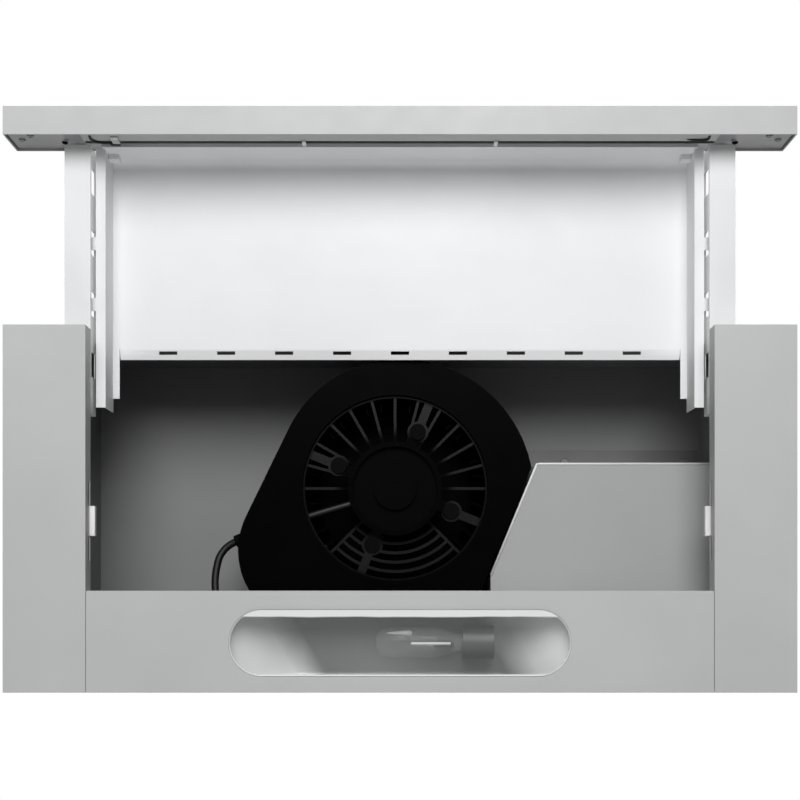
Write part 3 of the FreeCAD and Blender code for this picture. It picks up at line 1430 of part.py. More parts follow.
def circuit_board():
    """Control board under the top panel inside the box, with relays and a transformer."""
    low = size(TOP_IN) - 14
    board = Part.makeBox(120, 84, 1.6, vector(126, -168, low))
    parts = [
        Part.makeBox(30, 26, 24, vector(206, -162, low - 24)),
        Part.makeBox(19, 15, 15, vector(134, -160, low - 15)),
        Part.makeBox(19, 15, 15, vector(158, -160, low - 15)),
        Part.makeBox(19, 15, 15, vector(182, -160, low - 15)),
        Part.makeBox(60, 9, 12, vector(134, -98, low - 12)),
    ]
    posts = [
        Part.makeCylinder(3, 12.4, vector(x, y, low + 1.6)) for x in (131, 241) for y in (-163, -89)
    ]
    return shaped("circuit_board", board.multiFuse(parts + posts).removeSplitter())


def motor_capacitor():
    outline = [("0", "0"), ("14", "0"), ("15", "1"), ("15", "52"), ("14", "53"), ("0", "53")]
    revolve("motor_capacitor", outline, ("120", "-30", "box_level + steel + 15"), ALONG_X)


def terminal_block():
    """Moulded terminal strip on the floor of the box near the mains inlet."""
    body = new_body("terminal_block")
    floor, height = "(box_level + steel)", "16"
    outline = rectangle("196", "-36", "246", "-18")
    pad_polygon(body, "terminal_outline", "XY_Plane", outline, height, floor)
    top = f"{floor} + {height}"
    hole = pocket_circle(body, "terminal_hole", "XY_Plane", "201", "-27", "2.4", "14", top)
    repeat(body, hole, "X_Axis", "10", "5")


def mains_gland():
    """Screwed cable inlet on the top panel; the mains cord itself isn't shown."""
    outline = [
        ("gland_bore", "-9"),
        ("gland_thread", "-9"),
        ("gland_thread", "0"),
        ("12", "0"),
        ("12", "5"),
        ("9.5", "5"),
        ("9.5", "13"),
        ("7.5", "16"),
        ("gland_bore", "16"),
    ]
    revolve("mains_gland", outline, ("gland_x", "-gland_setback", "case_height"))


# Route of the motor's lead: from the motor's can out under the impeller and through the blower's side,
# then down, round the rear and across to the electrics box.
LEAD_ROUTE = (
    (-40.3, -147.9, 62.0),
    (-74.0, -138.0, 62.0),
    (-108.0, -127.0, 64.0),
    (-146.0, -113.0, 69.0),
    (-151.0, -86.0, 60.0),
    (-145.0, -58.0, 48.0),
    (-118.0, -36.0, 40.0),
    (-78.0, -26.0, 37.0),
    (-34.0, -27.0, 38.0),
    (6.0, -30.0, 38.5),
    (34.0, -34.0, 48.0),
    (54.0, -38.0, 64.0),
    (78.0, -38.0, 64.0),
)
# The grommets sit where the lead crosses the blower's wall, on the run from point 2 to point 3, and
# where it enters the box, near its last point.
WALL_SHARE = 0.566
GROMMET_LENGTH = 9.0
GROMMET_WALL = 2.2


def rounded_wire(points, share):
    """Straight runs joined by tangent arcs, each as large as its two runs allow."""
    edges = []
    start = points[0]
    radii = []
    for before, corner, after in zip(points, points[1:], points[2:]):
        back, ahead = before - corner, after - corner
        turn = math.pi - back.getAngle(ahead)
        trim = share * min(back.Length, ahead.Length)
        radius = trim / math.tan(turn / 2)
        back.normalize()
        ahead.normalize()
        first, last = corner + back * trim, corner + ahead * trim
        middle_way = (back + ahead).normalize()
        centre = corner + middle_way * (radius / math.cos(turn / 2))
        middle = centre - middle_way * radius
        edges.append(Part.LineSegment(start, first).toShape())
        edges.append(Part.Arc(first, middle, last).toShape())
        radii.append(round(radius, 1))
        start = last
    edges.append(Part.LineSegment(start, points[-1]).toShape())
    return Part.Wire(edges), radii


def motor_lead():
    """Round lead from the motor to the electrics box."""
    radius = size("lead_radius")
    points = [vector(*point) for point in LEAD_ROUTE]
    wire, radii = rounded_wire(points, size("lead_bend"))
    circle = Part.Wire([Part.Circle(points[0], points[1] - points[0], radius).toShape()])
    tube = wire.makePipeShell([circle], True, True)
    section_volume = math.pi * radius**2 * wire.Length
    print(f"motor lead: length {wire.Length:.1f} mm, radii {radii}")
    print(f"motor lead: volume {tube.Volume:.0f}, section times length {section_volume:.0f}")
    return shaped("motor_lead", tube)


def grommet_places():
    """Start and direction of both grommets, each along the lead where it passes through a wall."""
    before, after = (vector(*LEAD_ROUTE[k]) for k in (2, 3))
    way = (after - before).normalize()
    crossing = before + (after - before) * WALL_SHARE
    entry = vector(size("box_left"), LEAD_ROUTE[-1][1], LEAD_ROUTE[-1][2])
    along = vector(1, 0, 0)
    return [(crossing - way * (GROMMET_LENGTH / 2), way), (entry - along * 3, along)]


def lead_grommets():
    radius = size("lead_radius")
    sleeves = []
    for start, way in grommet_places():
        sleeve = Part.makeCylinder(radius + GROMMET_WALL, GROMMET_LENGTH, start, way)
        bore = Part.makeCylinder(radius, GROMMET_LENGTH + 2, start - way, way)
        sleeves.append(sleeve.cut(bore))
    return shaped("lead_grommets", Part.makeCompound(sleeves))


def grommet_hole():
    """Round cut for the grommet in the blower's wall."""
    start, way = grommet_places()[0]
    return Part.makeCylinder(
        size("lead_radius") + GROMMET_WALL, GROMMET_LENGTH + 4, start - way * 2, way
    )


# --------------------------------------------------------------------------------------------------
# Controls
# --------------------------------------------------------------------------------------------------
def button_places():
    count = int(size("button_count"))
    names = ("light_button", "low_speed_button", "middle_speed_button", "high_speed_button")
    return [(names[k], f"(button_x + ({k} - (button_count - 1) / 2) * button_pitch)") for k in range(count)]


def button_panel():
    """Moulded strip in the bar's face with one square hole for each button."""
    body = new_body("button_panel")
    outline = rectangle(
        f"button_x - {BUTTON_ROW} + {PANEL_PLAY}",
        f"{BUTTON_LEVEL} - {BUTTON_REACH} + {PANEL_PLAY}",
        f"button_x + {BUTTON_ROW} - {PANEL_PLAY}",
        f"{BUTTON_LEVEL} + {BUTTON_REACH} - {PANEL_PLAY}",
    )
    pad_polygon(body, "panel_plate", "XZ_Plane", outline, "2.5 * steel", f"-{BAR_FRONT} - 2.5 * steel")
    back = rectangle(
        f"button_x - {BUTTON_ROW} - button_frame",
        f"{BUTTON_LEVEL} - {BUTTON_REACH} - button_frame",
        f"button_x + {BUTTON_ROW} + button_frame",
        f"{BUTTON_LEVEL} + {BUTTON_REACH} + button_frame",
    )
    pad_polygon(body, "panel_back", "XZ_Plane", back, "panel_depth", f"-{BAR_FRONT} - steel - panel_depth")
    first = "(button_x - (button_count - 1) / 2 * button_pitch)"
    hole = pocket_polygon(
        body,
        "panel_hole",
        "XZ_Plane",
        rectangle(
            f"{first} - button_width / 2",
            f"{BUTTON_LEVEL} - button_height / 2",
            f"{first} + button_width / 2",
            f"{BUTTON_LEVEL} + button_height / 2",
        ),
        "3 * panel_depth",
        f"-{BAR_FRONT}",
    )
    repeat(body, hole, "X_Axis", "button_pitch", "button_count")


def push_buttons():
    half_width = "(button_width / 2 - button_play)"
    half_height = "(button_height / 2 - button_play)"
    for label, x in button_places():
        body = new_body(label)
        outline = rectangle(
            f"{x} - {half_width}",
            f"{BUTTON_LEVEL} - {half_height}",
            f"{x} + {half_width}",
            f"{BUTTON_LEVEL} + {half_height}",
        )
        length = "button_proud + button_depth"
        pad_polygon(body, f"{label}_cap", "XZ_Plane", outline, length, f"-{BAR_FRONT} - button_depth")


def drawer_switch():
    """Small switch behind the right slide that the closing drawer reaches with its end stop."""
    front = f"({PLUNGER_TIP} + plunger_proud)"
    rear = f"({front} + switch_length)"
    low, high = "switch_level", "(switch_level + switch_height)"
    near = f"({COVER_X} + 1)"
    side, floor = f"({near} + 2.8)", f"({low} + 5.3)"
    block = box("switch_block", (near, front, low), (CASE_IN, rear, high))
    bore = box(
        "switch_bore",
        (f"{side} - plunger_play", f"{front} - 1", f"{floor} - plunger_play"),
        (
            f"{side} + plunger_size + plunger_play",
            f"{front} + plunger_inside + plunger_travel",
            f"{floor} + plunger_size + plunger_play",
        ),
    )
    node("drawer_switch", cut("drawer_switch", block, bore))
    plunger = box(
        "switch_plunger",
        (side, PLUNGER_TIP, floor),
        (f"{side} + plunger_size", f"{front} + plunger_inside", f"{floor} + plunger_size"),
    )
    node("switch_plunger", plunger)


# --------------------------------------------------------------------------------------------------
# Assembly
# --------------------------------------------------------------------------------------------------
def build():
    casing_panels()
    lamp_panel()
    lamp_lens()
    lamp_housing()
    lamp_bulb_and_holder()
    for side, sign in SIDES:
        flange_column(side, sign)
        cabinet_bracket(side, sign)
        slide_fixed(side, sign)
        ball_cage(side, sign)
        slide_moving(side, sign)
        side_cover(side, sign)
        damper_flap(side, sign)
    for label, maker in (
        ("filter_clips", filter_clip),
        ("slide_brackets", slide_bracket),
        ("end_plates", end_plate),
    ):
        compound(label, [maker(side, sign) for side, sign in SIDES])
    drawer_bar()
    drawer_pan()
    end_stops()
    corner_clips()
    bar_clips()
    bar_screws()
    button_panel()
    push_buttons()
    drawer_switch()
    scroll_lower_shell()
    scroll_upper_shell()
    shell_clips()
    inlet_grille()
    motor()
    motor_rubbers()
    motor_shaft()
    impeller()
    outlet_spout()
    hanger_screws()
    electrics_cover()
    electrics_screws()
    circuit_board()
    motor_capacitor()
    terminal_block()
    mains_gland()
    motor_lead()
    lead_grommets()


def check_document():
    """Stop if any feature failed or any piece is empty or broken."""
    doc.recompute()
    for obj in doc.Objects:
        if "Invalid" in obj.State or "Error" in obj.State:
            raise RuntimeError(f"{obj.Name} failed: {obj.State}")
    for label, obj in NODES.items():
        if obj.Shape.isNull() or not obj.Shape.isValid() or not obj.Shape.Solids:
            raise RuntimeError(f"{label} has no valid solid")


def export_nodes():
    os.makedirs("parts", exist_ok=True)
    for label, obj in NODES.items():
        obj.Shape.exportStep(os.path.join("parts", f"{label}.step"))


build()
check_document()
export_nodes()
print(f"{len(NODES)} pieces written")
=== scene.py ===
import json
import math

import bpy
from mathutils import Euler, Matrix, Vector


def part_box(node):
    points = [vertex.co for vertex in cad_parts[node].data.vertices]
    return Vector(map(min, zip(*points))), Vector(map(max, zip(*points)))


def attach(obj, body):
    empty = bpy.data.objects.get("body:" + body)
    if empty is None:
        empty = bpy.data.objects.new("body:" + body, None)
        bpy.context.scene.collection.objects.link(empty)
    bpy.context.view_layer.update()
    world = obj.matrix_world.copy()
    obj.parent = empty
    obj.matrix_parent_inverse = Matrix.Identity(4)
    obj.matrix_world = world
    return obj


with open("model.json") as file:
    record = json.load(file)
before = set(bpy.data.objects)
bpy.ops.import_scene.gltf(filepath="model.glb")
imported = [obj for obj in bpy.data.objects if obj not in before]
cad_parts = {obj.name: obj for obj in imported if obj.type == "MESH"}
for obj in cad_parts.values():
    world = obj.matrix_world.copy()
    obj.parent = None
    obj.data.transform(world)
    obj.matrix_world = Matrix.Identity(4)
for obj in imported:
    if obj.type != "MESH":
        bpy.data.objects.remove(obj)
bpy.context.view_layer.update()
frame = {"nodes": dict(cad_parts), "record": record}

NODES = frame["nodes"]
MM = 0.001

# ---------------------------------------------------------------------------------------------
# Places taken from the frame, in metres
# ---------------------------------------------------------------------------------------------
PANEL_LOW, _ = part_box("lamp_panel")
LENS_LOW, LENS_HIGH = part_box("lamp_lens")
HOUSING_LOW, HOUSING_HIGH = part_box("lamp_housing")
BULB_LOW, BULB_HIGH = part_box("lamp_bulb")
GRILLE_LOW, GRILLE_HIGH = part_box("inlet_grille")
COVER_LOW, COVER_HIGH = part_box("electrics_cover")
_, BAR_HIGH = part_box("drawer_bar")
PLATE_LOW, PLATE_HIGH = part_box("end_plates")
LENS_Y = (LENS_LOW.y + LENS_HIGH.y) / 2.0
GRILLE_X, GRILLE_Y = (GRILLE_LOW.x + GRILLE_HIGH.x) / 2.0, (GRILLE_LOW.y + GRILLE_HIGH.y) / 2.0
GRILLE_REACH = (GRILLE_HIGH.x - GRILLE_LOW.x) / 2.0

# ---------------------------------------------------------------------------------------------
# Camera: straight below the hood, looking up, with the front edge at the top of the picture
# ---------------------------------------------------------------------------------------------
SENSOR_WIDTH, FOCAL_LENGTH = 36.0, 62.9
PICTURE_SHIFT = 0.25
EYE_Y, EYE_DISTANCE = -70.0 * MM, 1055.0 * MM


def make_camera():
    data = bpy.data.cameras.new("camera")
    data.sensor_width = SENSOR_WIDTH
    data.lens = FOCAL_LENGTH
    data.shift_y = PICTURE_SHIFT
    data.clip_start, data.clip_end = 0.05, 50.0
    camera = bpy.data.objects.new("camera", data)
    camera.location = (0.0, EYE_Y, PANEL_LOW.z - EYE_DISTANCE)
    camera.rotation_euler = Euler((math.pi, 0.0, 0.0))
    bpy.context.scene.collection.objects.link(camera)
    bpy.context.scene.camera = camera


make_camera()
bpy.context.scene.view_settings.view_transform = "Standard"

# ---------------------------------------------------------------------------------------------
# Material nodes
# ---------------------------------------------------------------------------------------------
# Sockets of a Mix node that mixes colours, by their place in its lists.
MIX_SHARE, MIX_FIRST, MIX_SECOND, MIX_RESULT = 0, 6, 7, 2


class Graph:
    """Short calls for a material's nodes and links."""

    def __init__(self, name):
        self.material = bpy.data.materials.new(name)
        self.material.use_nodes = True
        self.tree = self.material.node_tree
        self.nodes = self.tree.nodes
        self.nodes.clear()
        self.output = self.nodes.new("ShaderNodeOutputMaterial")
        self.coords = self.nodes.new("ShaderNodeTexCoord")

    def link(self, source, target):
        self.tree.links.new(source, target)

    def stretched(self, scale):
        """The object's coordinates, scaled by a different amount along each axis."""
        mapping = self.nodes.new("ShaderNodeMapping")
        mapping.inputs["Scale"].default_value = scale
        self.link(self.coords.outputs["Object"], mapping.inputs["Vector"])
        return mapping.outputs["Vector"]

    def noise(self, scale, detail=2.0, vector=None, roughness=0.5):
        noise = self.nodes.new("ShaderNodeTexNoise")
        noise.inputs["Scale"].default_value = scale
        noise.inputs["Detail"].default_value = detail
        noise.inputs["Roughness"].default_value = roughness
        self.link(vector or self.coords.outputs["Object"], noise.inputs["Vector"])
        return noise.outputs["Fac"]

    def cells(self, scale):
        cells = self.nodes.new("ShaderNodeTexVoronoi")
        cells.inputs["Scale"].default_value = scale
        self.link(self.coords.outputs["Object"], cells.inputs["Vector"])
        return cells.outputs["Distance"]

    def spread(self, value, low, high, start=0.25, end=0.75):
        """The value stretched from start..end to low..high."""
        ranged = self.nodes.new("ShaderNodeMapRange")
        ranged.inputs["From Min"].default_value = start
        ranged.inputs["From Max"].default_value = end
        ranged.inputs["To Min"].default_value = low
        ranged.inputs["To Max"].default_value = high
        self.link(value, ranged.inputs["Value"])
        return ranged.outputs["Result"]

    def tones(self, value, first, second, start=0.3, end=0.7):
        """A colour that goes from the first to the second as the value goes from start to end."""
        ramp = self.nodes.new("ShaderNodeValToRGB")
        for stop, position, color in zip(ramp.color_ramp.elements, (start, end), (first, second)):
            stop.position = position
            stop.color = (*color, 1.0)
        self.link(value, ramp.inputs["Fac"])
        return ramp.outputs["Color"]

    def ladder(self, value, hue, stops):
        """Brighter and darker tones of one hue through several (position, brightness) stops."""
        ramp = self.nodes.new("ShaderNodeValToRGB")
        steps = ramp.color_ramp.elements
        while len(steps) < len(stops):
            steps.new(0.5)
        for step, (position, _) in zip(steps, stops):
            step.position = position
        for step, (_, brightness) in zip(steps, stops):
            step.color = (*tint(hue, brightness), 1.0)
        self.link(value, ramp.inputs["Fac"])
        return ramp.outputs["Color"]

    def blend(self, share, first, second):
        """Two colours mixed by a share from 0 to 1."""
        mix = self.nodes.new("ShaderNodeMix")
        mix.data_type = "RGBA"
        self.link(share, mix.inputs[MIX_SHARE])
        self.link(first, mix.inputs[MIX_FIRST])
        self.link(second, mix.inputs[MIX_SECOND])
        return mix.outputs[MIX_RESULT]

    def axes(self):
        """The three object coordinates, in metres."""
        parts = self.nodes.new("ShaderNodeSeparateXYZ")
        self.link(self.coords.outputs["Object"], parts.inputs["Vector"])
        return parts.outputs

    def math(self, operation, *values):
        step = self.nodes.new("ShaderNodeMath")
        step.operation = operation
        for socket, value in zip(step.inputs, values):
            if isinstance(value, bpy.types.NodeSocket):
                self.link(value, socket)
            else:
                socket.default_value = value
        return step.outputs["Value"]

    def distance(self, across, along):
        """The length of a line that reaches so far across and so far along."""
        squares = [self.math("MULTIPLY", value, value) for value in (across, along)]
        return self.math("SQRT", self.math("ADD", *squares))

    def bump(self, height, distance, strength=1.0, below=None):
        bump = self.nodes.new("ShaderNodeBump")
        bump.inputs["Distance"].default_value = distance
        bump.inputs["Strength"].default_value = strength
        self.link(height, bump.inputs["Height"])
        if below is not None:
            self.link(below, bump.inputs["Normal"])
        return bump.outputs["Normal"]

    def shader(self, color, roughness, normal=None, **fixed):
        """A Principled shader; colour and roughness may be sockets, and fixed sets plain sockets."""
        shader = self.nodes.new("ShaderNodeBsdfPrincipled")
        for socket, value in (("Base Color", color), ("Roughness", roughness)):
            if isinstance(value, bpy.types.NodeSocket):
                self.link(value, shader.inputs[socket])
            elif socket == "Base Color":
                shader.inputs[socket].default_value = (*value, 1.0)
            else:
                shader.inputs[socket].default_value = value
        if normal is not None:
            self.link(normal, shader.inputs["Normal"])
        for socket, value in fixed.items():
            shader.inputs[socket.replace("_", " ")].default_value = value
        return shader

    def finish(self, shader):
        self.link(shader.outputs[0], self.output.inputs["Surface"])
        return self.material


def tint(color, share):
    return tuple(min(1.0, c * share) for c in color)


# ---------------------------------------------------------------------------------------------
# Paint
# ---------------------------------------------------------------------------------------------
DRIFT_SCALE, GLOSS_SCALE, PEEL_SCALE, FLAKE_SCALE = 9.0, 70.0, 900.0, 4200.0
PEEL, FLAKE = 0.02 * MM, 0.005 * MM


def paint_tone(g, color):
    return g.tones(g.noise(DRIFT_SCALE, 3.0), tint(color, 0.965), tint(color, 1.035))


def paint_gloss(g, roughness):
    return g.spread(g.noise(GLOSS_SCALE, 3.0), roughness - 0.03, roughness + 0.04)


def lacquer(name, color, roughness, metallic=0.0, specular=0.5):
    """Sprayed paint: faint tone drift, fine flake, and a low orange peel."""
    g = Graph(name)
    flake = g.bump(g.cells(FLAKE_SCALE), FLAKE, 0.35)
    normal = g.bump(g.noise(PEEL_SCALE, 1.0), PEEL, 0.5, flake)
    tone, gloss = paint_tone(g, color), paint_gloss(g, roughness)
    return g.finish(g.shader(tone, gloss, normal, Metallic=metallic, Specular_IOR_Level=specular))


# The electrics box's upper flange starts this far below its top, and painted shade darkens the paint
# from just below it.
FLANGE_DROP, SHADE_FADE = 5.0 * MM, 2.0 * MM


def box_lacquer_with_painted_shade(name, color, roughness):
    """The electrics box's paint, darkened on its upper flange as painted shade."""
    g = Graph(name)
    _, _, z = g.axes()
    # Painted shade: a darker tone of the box's paint stands for the shade on its upper flange.
    painted_flange_shade = g.tones(g.noise(30.0, 3.0), tint(color, 0.40), tint(color, 0.46))
    flange = COVER_HIGH.z - FLANGE_DROP
    paint = g.blend(g.spread(z, 0.0, 1.0, flange - SHADE_FADE, flange), paint_tone(g, color), painted_flange_shade)
    normal = g.bump(g.noise(PEEL_SCALE, 1.0), PEEL, 0.5)
    return g.finish(g.shader(paint, paint_gloss(g, roughness), normal, Specular_IOR_Level=0.25))


# ---------------------------------------------------------------------------------------------
# Mouldings
# ---------------------------------------------------------------------------------------------
SPARK_GRAIN, SPARK_DEPTH = 2600.0, 0.03 * MM


def moulded_base(name, color, roughness, grain):
    """A graph with a moulding's tone, its gloss and its fine spark-eroded texture."""
    g = Graph(name)
    tone = g.tones(g.noise(18.0, 3.0), tint(color, 0.9), tint(color, 1.1))
    gloss = g.spread(g.noise(45.0, 4.0), roughness - 0.06, roughness + 0.07)
    return g, tone, gloss, g.bump(g.noise(grain, 2.0), SPARK_DEPTH, 0.5)


def moulded(name, color, roughness, grain=SPARK_GRAIN, specular=0.5):
    """Injection-moulded plastic or rubber with a fine texture and slight flow marks."""
    g, tone, gloss, texture = moulded_base(name, color, roughness, grain)
    flow = g.bump(g.noise(38.0, 1.0), SPARK_DEPTH * 4.0, 0.25, texture)
    return g.finish(g.shader(tone, gloss, flow, Specular_IOR_Level=specular))


RIM_WIDTH, RIM_FADE = 8.0 * MM, 4.0 * MM
RING_REACH, RING_FADE = 42.0 * MM, 8.0 * MM
RIB_FADE = 0.2 * MM
DULL, POLISHED = 0.012, 0.11


def rubbed_ribs(g):
    """1 on the grille's ribs, between its middle rings and its rim, and 0 on the rest of the blower."""
    x, y, z = g.axes()
    reach = g.distance(g.math("SUBTRACT", x, GRILLE_X), g.math("SUBTRACT", y, GRILLE_Y))
    in_rim = g.spread(reach, 1.0, 0.0, GRILLE_REACH - RIM_WIDTH, GRILLE_REACH - RIM_FADE)
    past_rings = g.spread(reach, 0.0, 1.0, RING_REACH, RING_REACH + RING_FADE)
    above = g.spread(z, 0.0, 1.0, GRILLE_LOW.z - RIB_FADE, GRILLE_LOW.z)
    below = g.spread(z, 1.0, 0.0, GRILLE_HIGH.z, GRILLE_HIGH.z + RIB_FADE)
    flat, level = g.math("MULTIPLY", in_rim, past_rings), g.math("MULTIPLY", above, below)
    return g.math("MULTIPLY", flat, level)


def blower_plastic(name, color, roughness):
    """Dull black moulding of the blower, rubbed to a slight shine on the grille's ribs."""
    g, tone, gloss, texture = moulded_base(name, color, roughness, SPARK_GRAIN)
    shader = g.shader(tone, gloss, texture)
    g.link(g.spread(rubbed_ribs(g), DULL, POLISHED, 0.0, 1.0), shader.inputs["Specular IOR Level"])
    return g.finish(shader)


# ---------------------------------------------------------------------------------------------
# Metal
# ---------------------------------------------------------------------------------------------
GRAIN_DEPTH = 0.012 * MM
ALONG_X, ALONG_Y, ALONG_TROUGH = (3.0, 900.0, 900.0), (900.0, 3.0, 900.0), (4.0, 700.0, 700.0)


def rolled_grain(g, roughness, grain):
    """The gloss and the normal of sheet with a rolling grain."""
    streaks = g.noise(1.0, 3.0, g.stretched(grain))
    return g.spread(streaks, roughness - 0.07, roughness + 0.1), g.bump(streaks, GRAIN_DEPTH, 0.4)


def rolled_steel(name, color, roughness, grain=ALONG_X, metallic=1.0):
    """Bare or zinc-plated sheet with a faint rolling grain and cloudy plating."""
    g = Graph(name)
    clouds = g.noise(55.0, 4.0, roughness=0.62)
    tone = g.tones(clouds, tint(color, 0.86), tint(color, 1.1))
    return g.finish(g.shader(tone, *rolled_grain(g, roughness, grain), Metallic=metallic))


# Painted light on the reflector from its left end to its right: painted reflections at the turned-up
# ends and painted shade in the middle.
REFLECTOR_HUE = (0.985, 1.0, 0.992)
REFLECTOR_PAINTED_LIGHT = (
    (0.03, 0.85), (0.15, 0.70), (0.235, 0.12), (0.42, 0.18),
    (0.62, 0.09), (0.76, 0.10), (0.85, 0.65), (0.95, 0.88),
)
REFLECTOR_REACH, REFLECTOR_LEAN, REFLECTOR_WAVER = 136.0 * MM, 0.55, 10.0 * MM


def reflector_with_painted_light(name, roughness):
    """Pressed steel with painted reflections and painted shade that change along the trough."""
    g = Graph(name)
    x, y, _ = g.axes()
    leaning = g.math("MULTIPLY_ADD", y, -REFLECTOR_LEAN, g.math("ADD", x, LENS_Y * REFLECTOR_LEAN))
    level = g.math("SUBTRACT", leaning, REFLECTOR_WAVER / 2.0)
    wavy = g.math("MULTIPLY_ADD", g.noise(22.0, 2.0), REFLECTOR_WAVER, level)
    along = g.spread(wavy, 0.0, 1.0, -REFLECTOR_REACH, REFLECTOR_REACH)
    # The ladder paints the reflections and the shade into the base colour.
    tone = g.ladder(along, REFLECTOR_HUE, REFLECTOR_PAINTED_LIGHT)
    return g.finish(g.shader(tone, *rolled_grain(g, roughness, ALONG_TROUGH), Metallic=0.1))


# ---------------------------------------------------------------------------------------------
# Clear plastic and glass
# ---------------------------------------------------------------------------------------------
# The lens lies inside its rim, and its round ends are centred this far from its middle.
LENS_RIM, LENS_HALF = 4.3 * MM, 104.2 * MM
LENS_RADIUS = (LENS_HIGH.y - LENS_LOW.y) / 2.0 - LENS_RIM
# Painted highlights: the frosted edge is made more opaque as a painted highlight, and a light band
# along the front and a thin light line along the back stand for the light the rim catches.
LENS_EDGE, EDGE_FADE, EDGE_VEIL = 0.9 * MM, 0.54 * MM, 0.55
FRONT_HIGHLIGHT_Y, FRONT_HIGHLIGHT_FADE, FRONT_HIGHLIGHT_WANDER = -19.7 * MM, 1.2 * MM, 1.6 * MM
BACK_HIGHLIGHT_Y, BACK_HIGHLIGHT_FADE = 23.6 * MM, 0.4 * MM
HIGHLIGHT_VEIL = 0.9
RIPPLE_SCALE = 120.0


def lens_plastic(name, color, roughness, veil):
    """Clear tray: thin film in the field, a frosted moulded edge made brighter as a painted highlight,
    a broad painted highlight along the front and a thin one along the back.
    """
    g = Graph(name)
    x, y, _ = g.axes()
    across = g.math("SUBTRACT", y, LENS_Y)
    past_end = g.math("MAXIMUM", g.math("SUBTRACT", g.math("ABSOLUTE", x), LENS_HALF), 0.0)
    depth = g.math("SUBTRACT", g.distance(past_end, across), LENS_RADIUS)
    wander = g.math("MULTIPLY", g.noise(26.0, 2.0), FRONT_HIGHLIGHT_WANDER)
    # Painted highlights on the edge, the front band and the back line.
    edge = g.spread(depth, 0.0, EDGE_VEIL, -LENS_EDGE, EDGE_FADE - LENS_EDGE)
    front_highlight = g.spread(g.math("ADD", across, wander), HIGHLIGHT_VEIL, 0.0, FRONT_HIGHLIGHT_Y, FRONT_HIGHLIGHT_Y + FRONT_HIGHLIGHT_FADE)
    rear = g.spread(across, 0.0, HIGHLIGHT_VEIL, BACK_HIGHLIGHT_Y, BACK_HIGHLIGHT_Y + BACK_HIGHLIGHT_FADE)
    alpha = g.math("MAXIMUM", g.math("MAXIMUM", edge, front_highlight), g.math("MAXIMUM", rear, veil))
    ripple = g.bump(g.noise(RIPPLE_SCALE, 2.0), 0.08 * MM, 0.3)
    shine = g.shader(color, roughness, ripple, Specular_IOR_Level=0.35)
    g.link(alpha, shine.inputs["Alpha"])
    return g.finish(shine)


def clear_glass(name, color, roughness, veil):
    """The lamp's glass: a thin gloss film over what is behind it."""
    g = Graph(name)
    ripple = g.bump(g.noise(RIPPLE_SCALE, 2.0), 0.12 * MM, 0.35)
    shine = g.shader(color, roughness, ripple, Specular_IOR_Level=0.5, Coat_Weight=0.4)
    shine.inputs["Alpha"].default_value = veil
    return g.finish(shine)


# ---------------------------------------------------------------------------------------------
# The record's finishes
# ---------------------------------------------------------------------------------------------
FLANGE = (0.470, 0.473, 0.475)
CASING = (0.250, 0.252, 0.253)
BOX = (0.40, 0.402, 0.403)
WHITE = (0.82, 0.825, 0.832)
ZINC = (0.62, 0.63, 0.64)

MATERIALS = {
    "flange_paint": lacquer("flange_paint", FLANGE, 0.50, metallic=0.12, specular=0.25),
    "casing_paint": lacquer("casing_paint", CASING, 0.55, specular=0.2),
    "box_paint": box_lacquer_with_painted_shade("box_paint", BOX, 0.42),
    "white_paint": lacquer("white_paint", WHITE, 0.45, specular=0.3),
    "slide_steel": rolled_steel("slide_steel", ZINC, 0.34, ALONG_Y),
    "ball_steel": rolled_steel("ball_steel", (0.75, 0.75, 0.76), 0.14),
    "screw_steel": rolled_steel("screw_steel", (0.20, 0.20, 0.20), 0.5, metallic=0.6),
    "dark_plate": lacquer("dark_plate", (0.27, 0.27, 0.28), 0.45),
    "black_plastic": blower_plastic("black_plastic", (0.0008, 0.0008, 0.0008), 0.3),
    "motor_steel": lacquer("motor_steel", (0.0015, 0.0015, 0.0015), 0.4, specular=0.012),
    "shaft_steel": rolled_steel("shaft_steel", (0.55, 0.55, 0.56), 0.22),
    "black_rubber": moulded("black_rubber", (0.003, 0.003, 0.003), 0.6, specular=0.02),
    "lead_sheath": moulded("lead_sheath", (0.004, 0.004, 0.004), 0.42, grain=900.0, specular=0.25),
    "clear_lens": lens_plastic("clear_lens", (0.86, 0.88, 0.87), 0.1, veil=0.05),
    "bulb_glass": clear_glass("bulb_glass", (0.6, 0.62, 0.61), 0.06, veil=0.12),
    "reflector_steel": reflector_with_painted_light("reflector_steel", 0.4),
    "holder_plastic": moulded("holder_plastic", (0.03, 0.03, 0.03), 0.45),
    "white_plastic": moulded("white_plastic", (0.8, 0.8, 0.79), 0.4),
    "grey_plastic": moulded("grey_plastic", (0.30, 0.31, 0.32), 0.45),
    "button_plastic": moulded("button_plastic", (0.05, 0.05, 0.055), 0.22),
    "board_green": moulded("board_green", (0.03, 0.14, 0.06), 0.4, grain=500.0),
    "capacitor_plastic": moulded("capacitor_plastic", (0.75, 0.75, 0.73), 0.3),
}
for entry in frame["record"]["subparts"]:
    for slot in NODES[entry["node"]].material_slots:
        slot.material = MATERIALS[entry["material_slot"]]

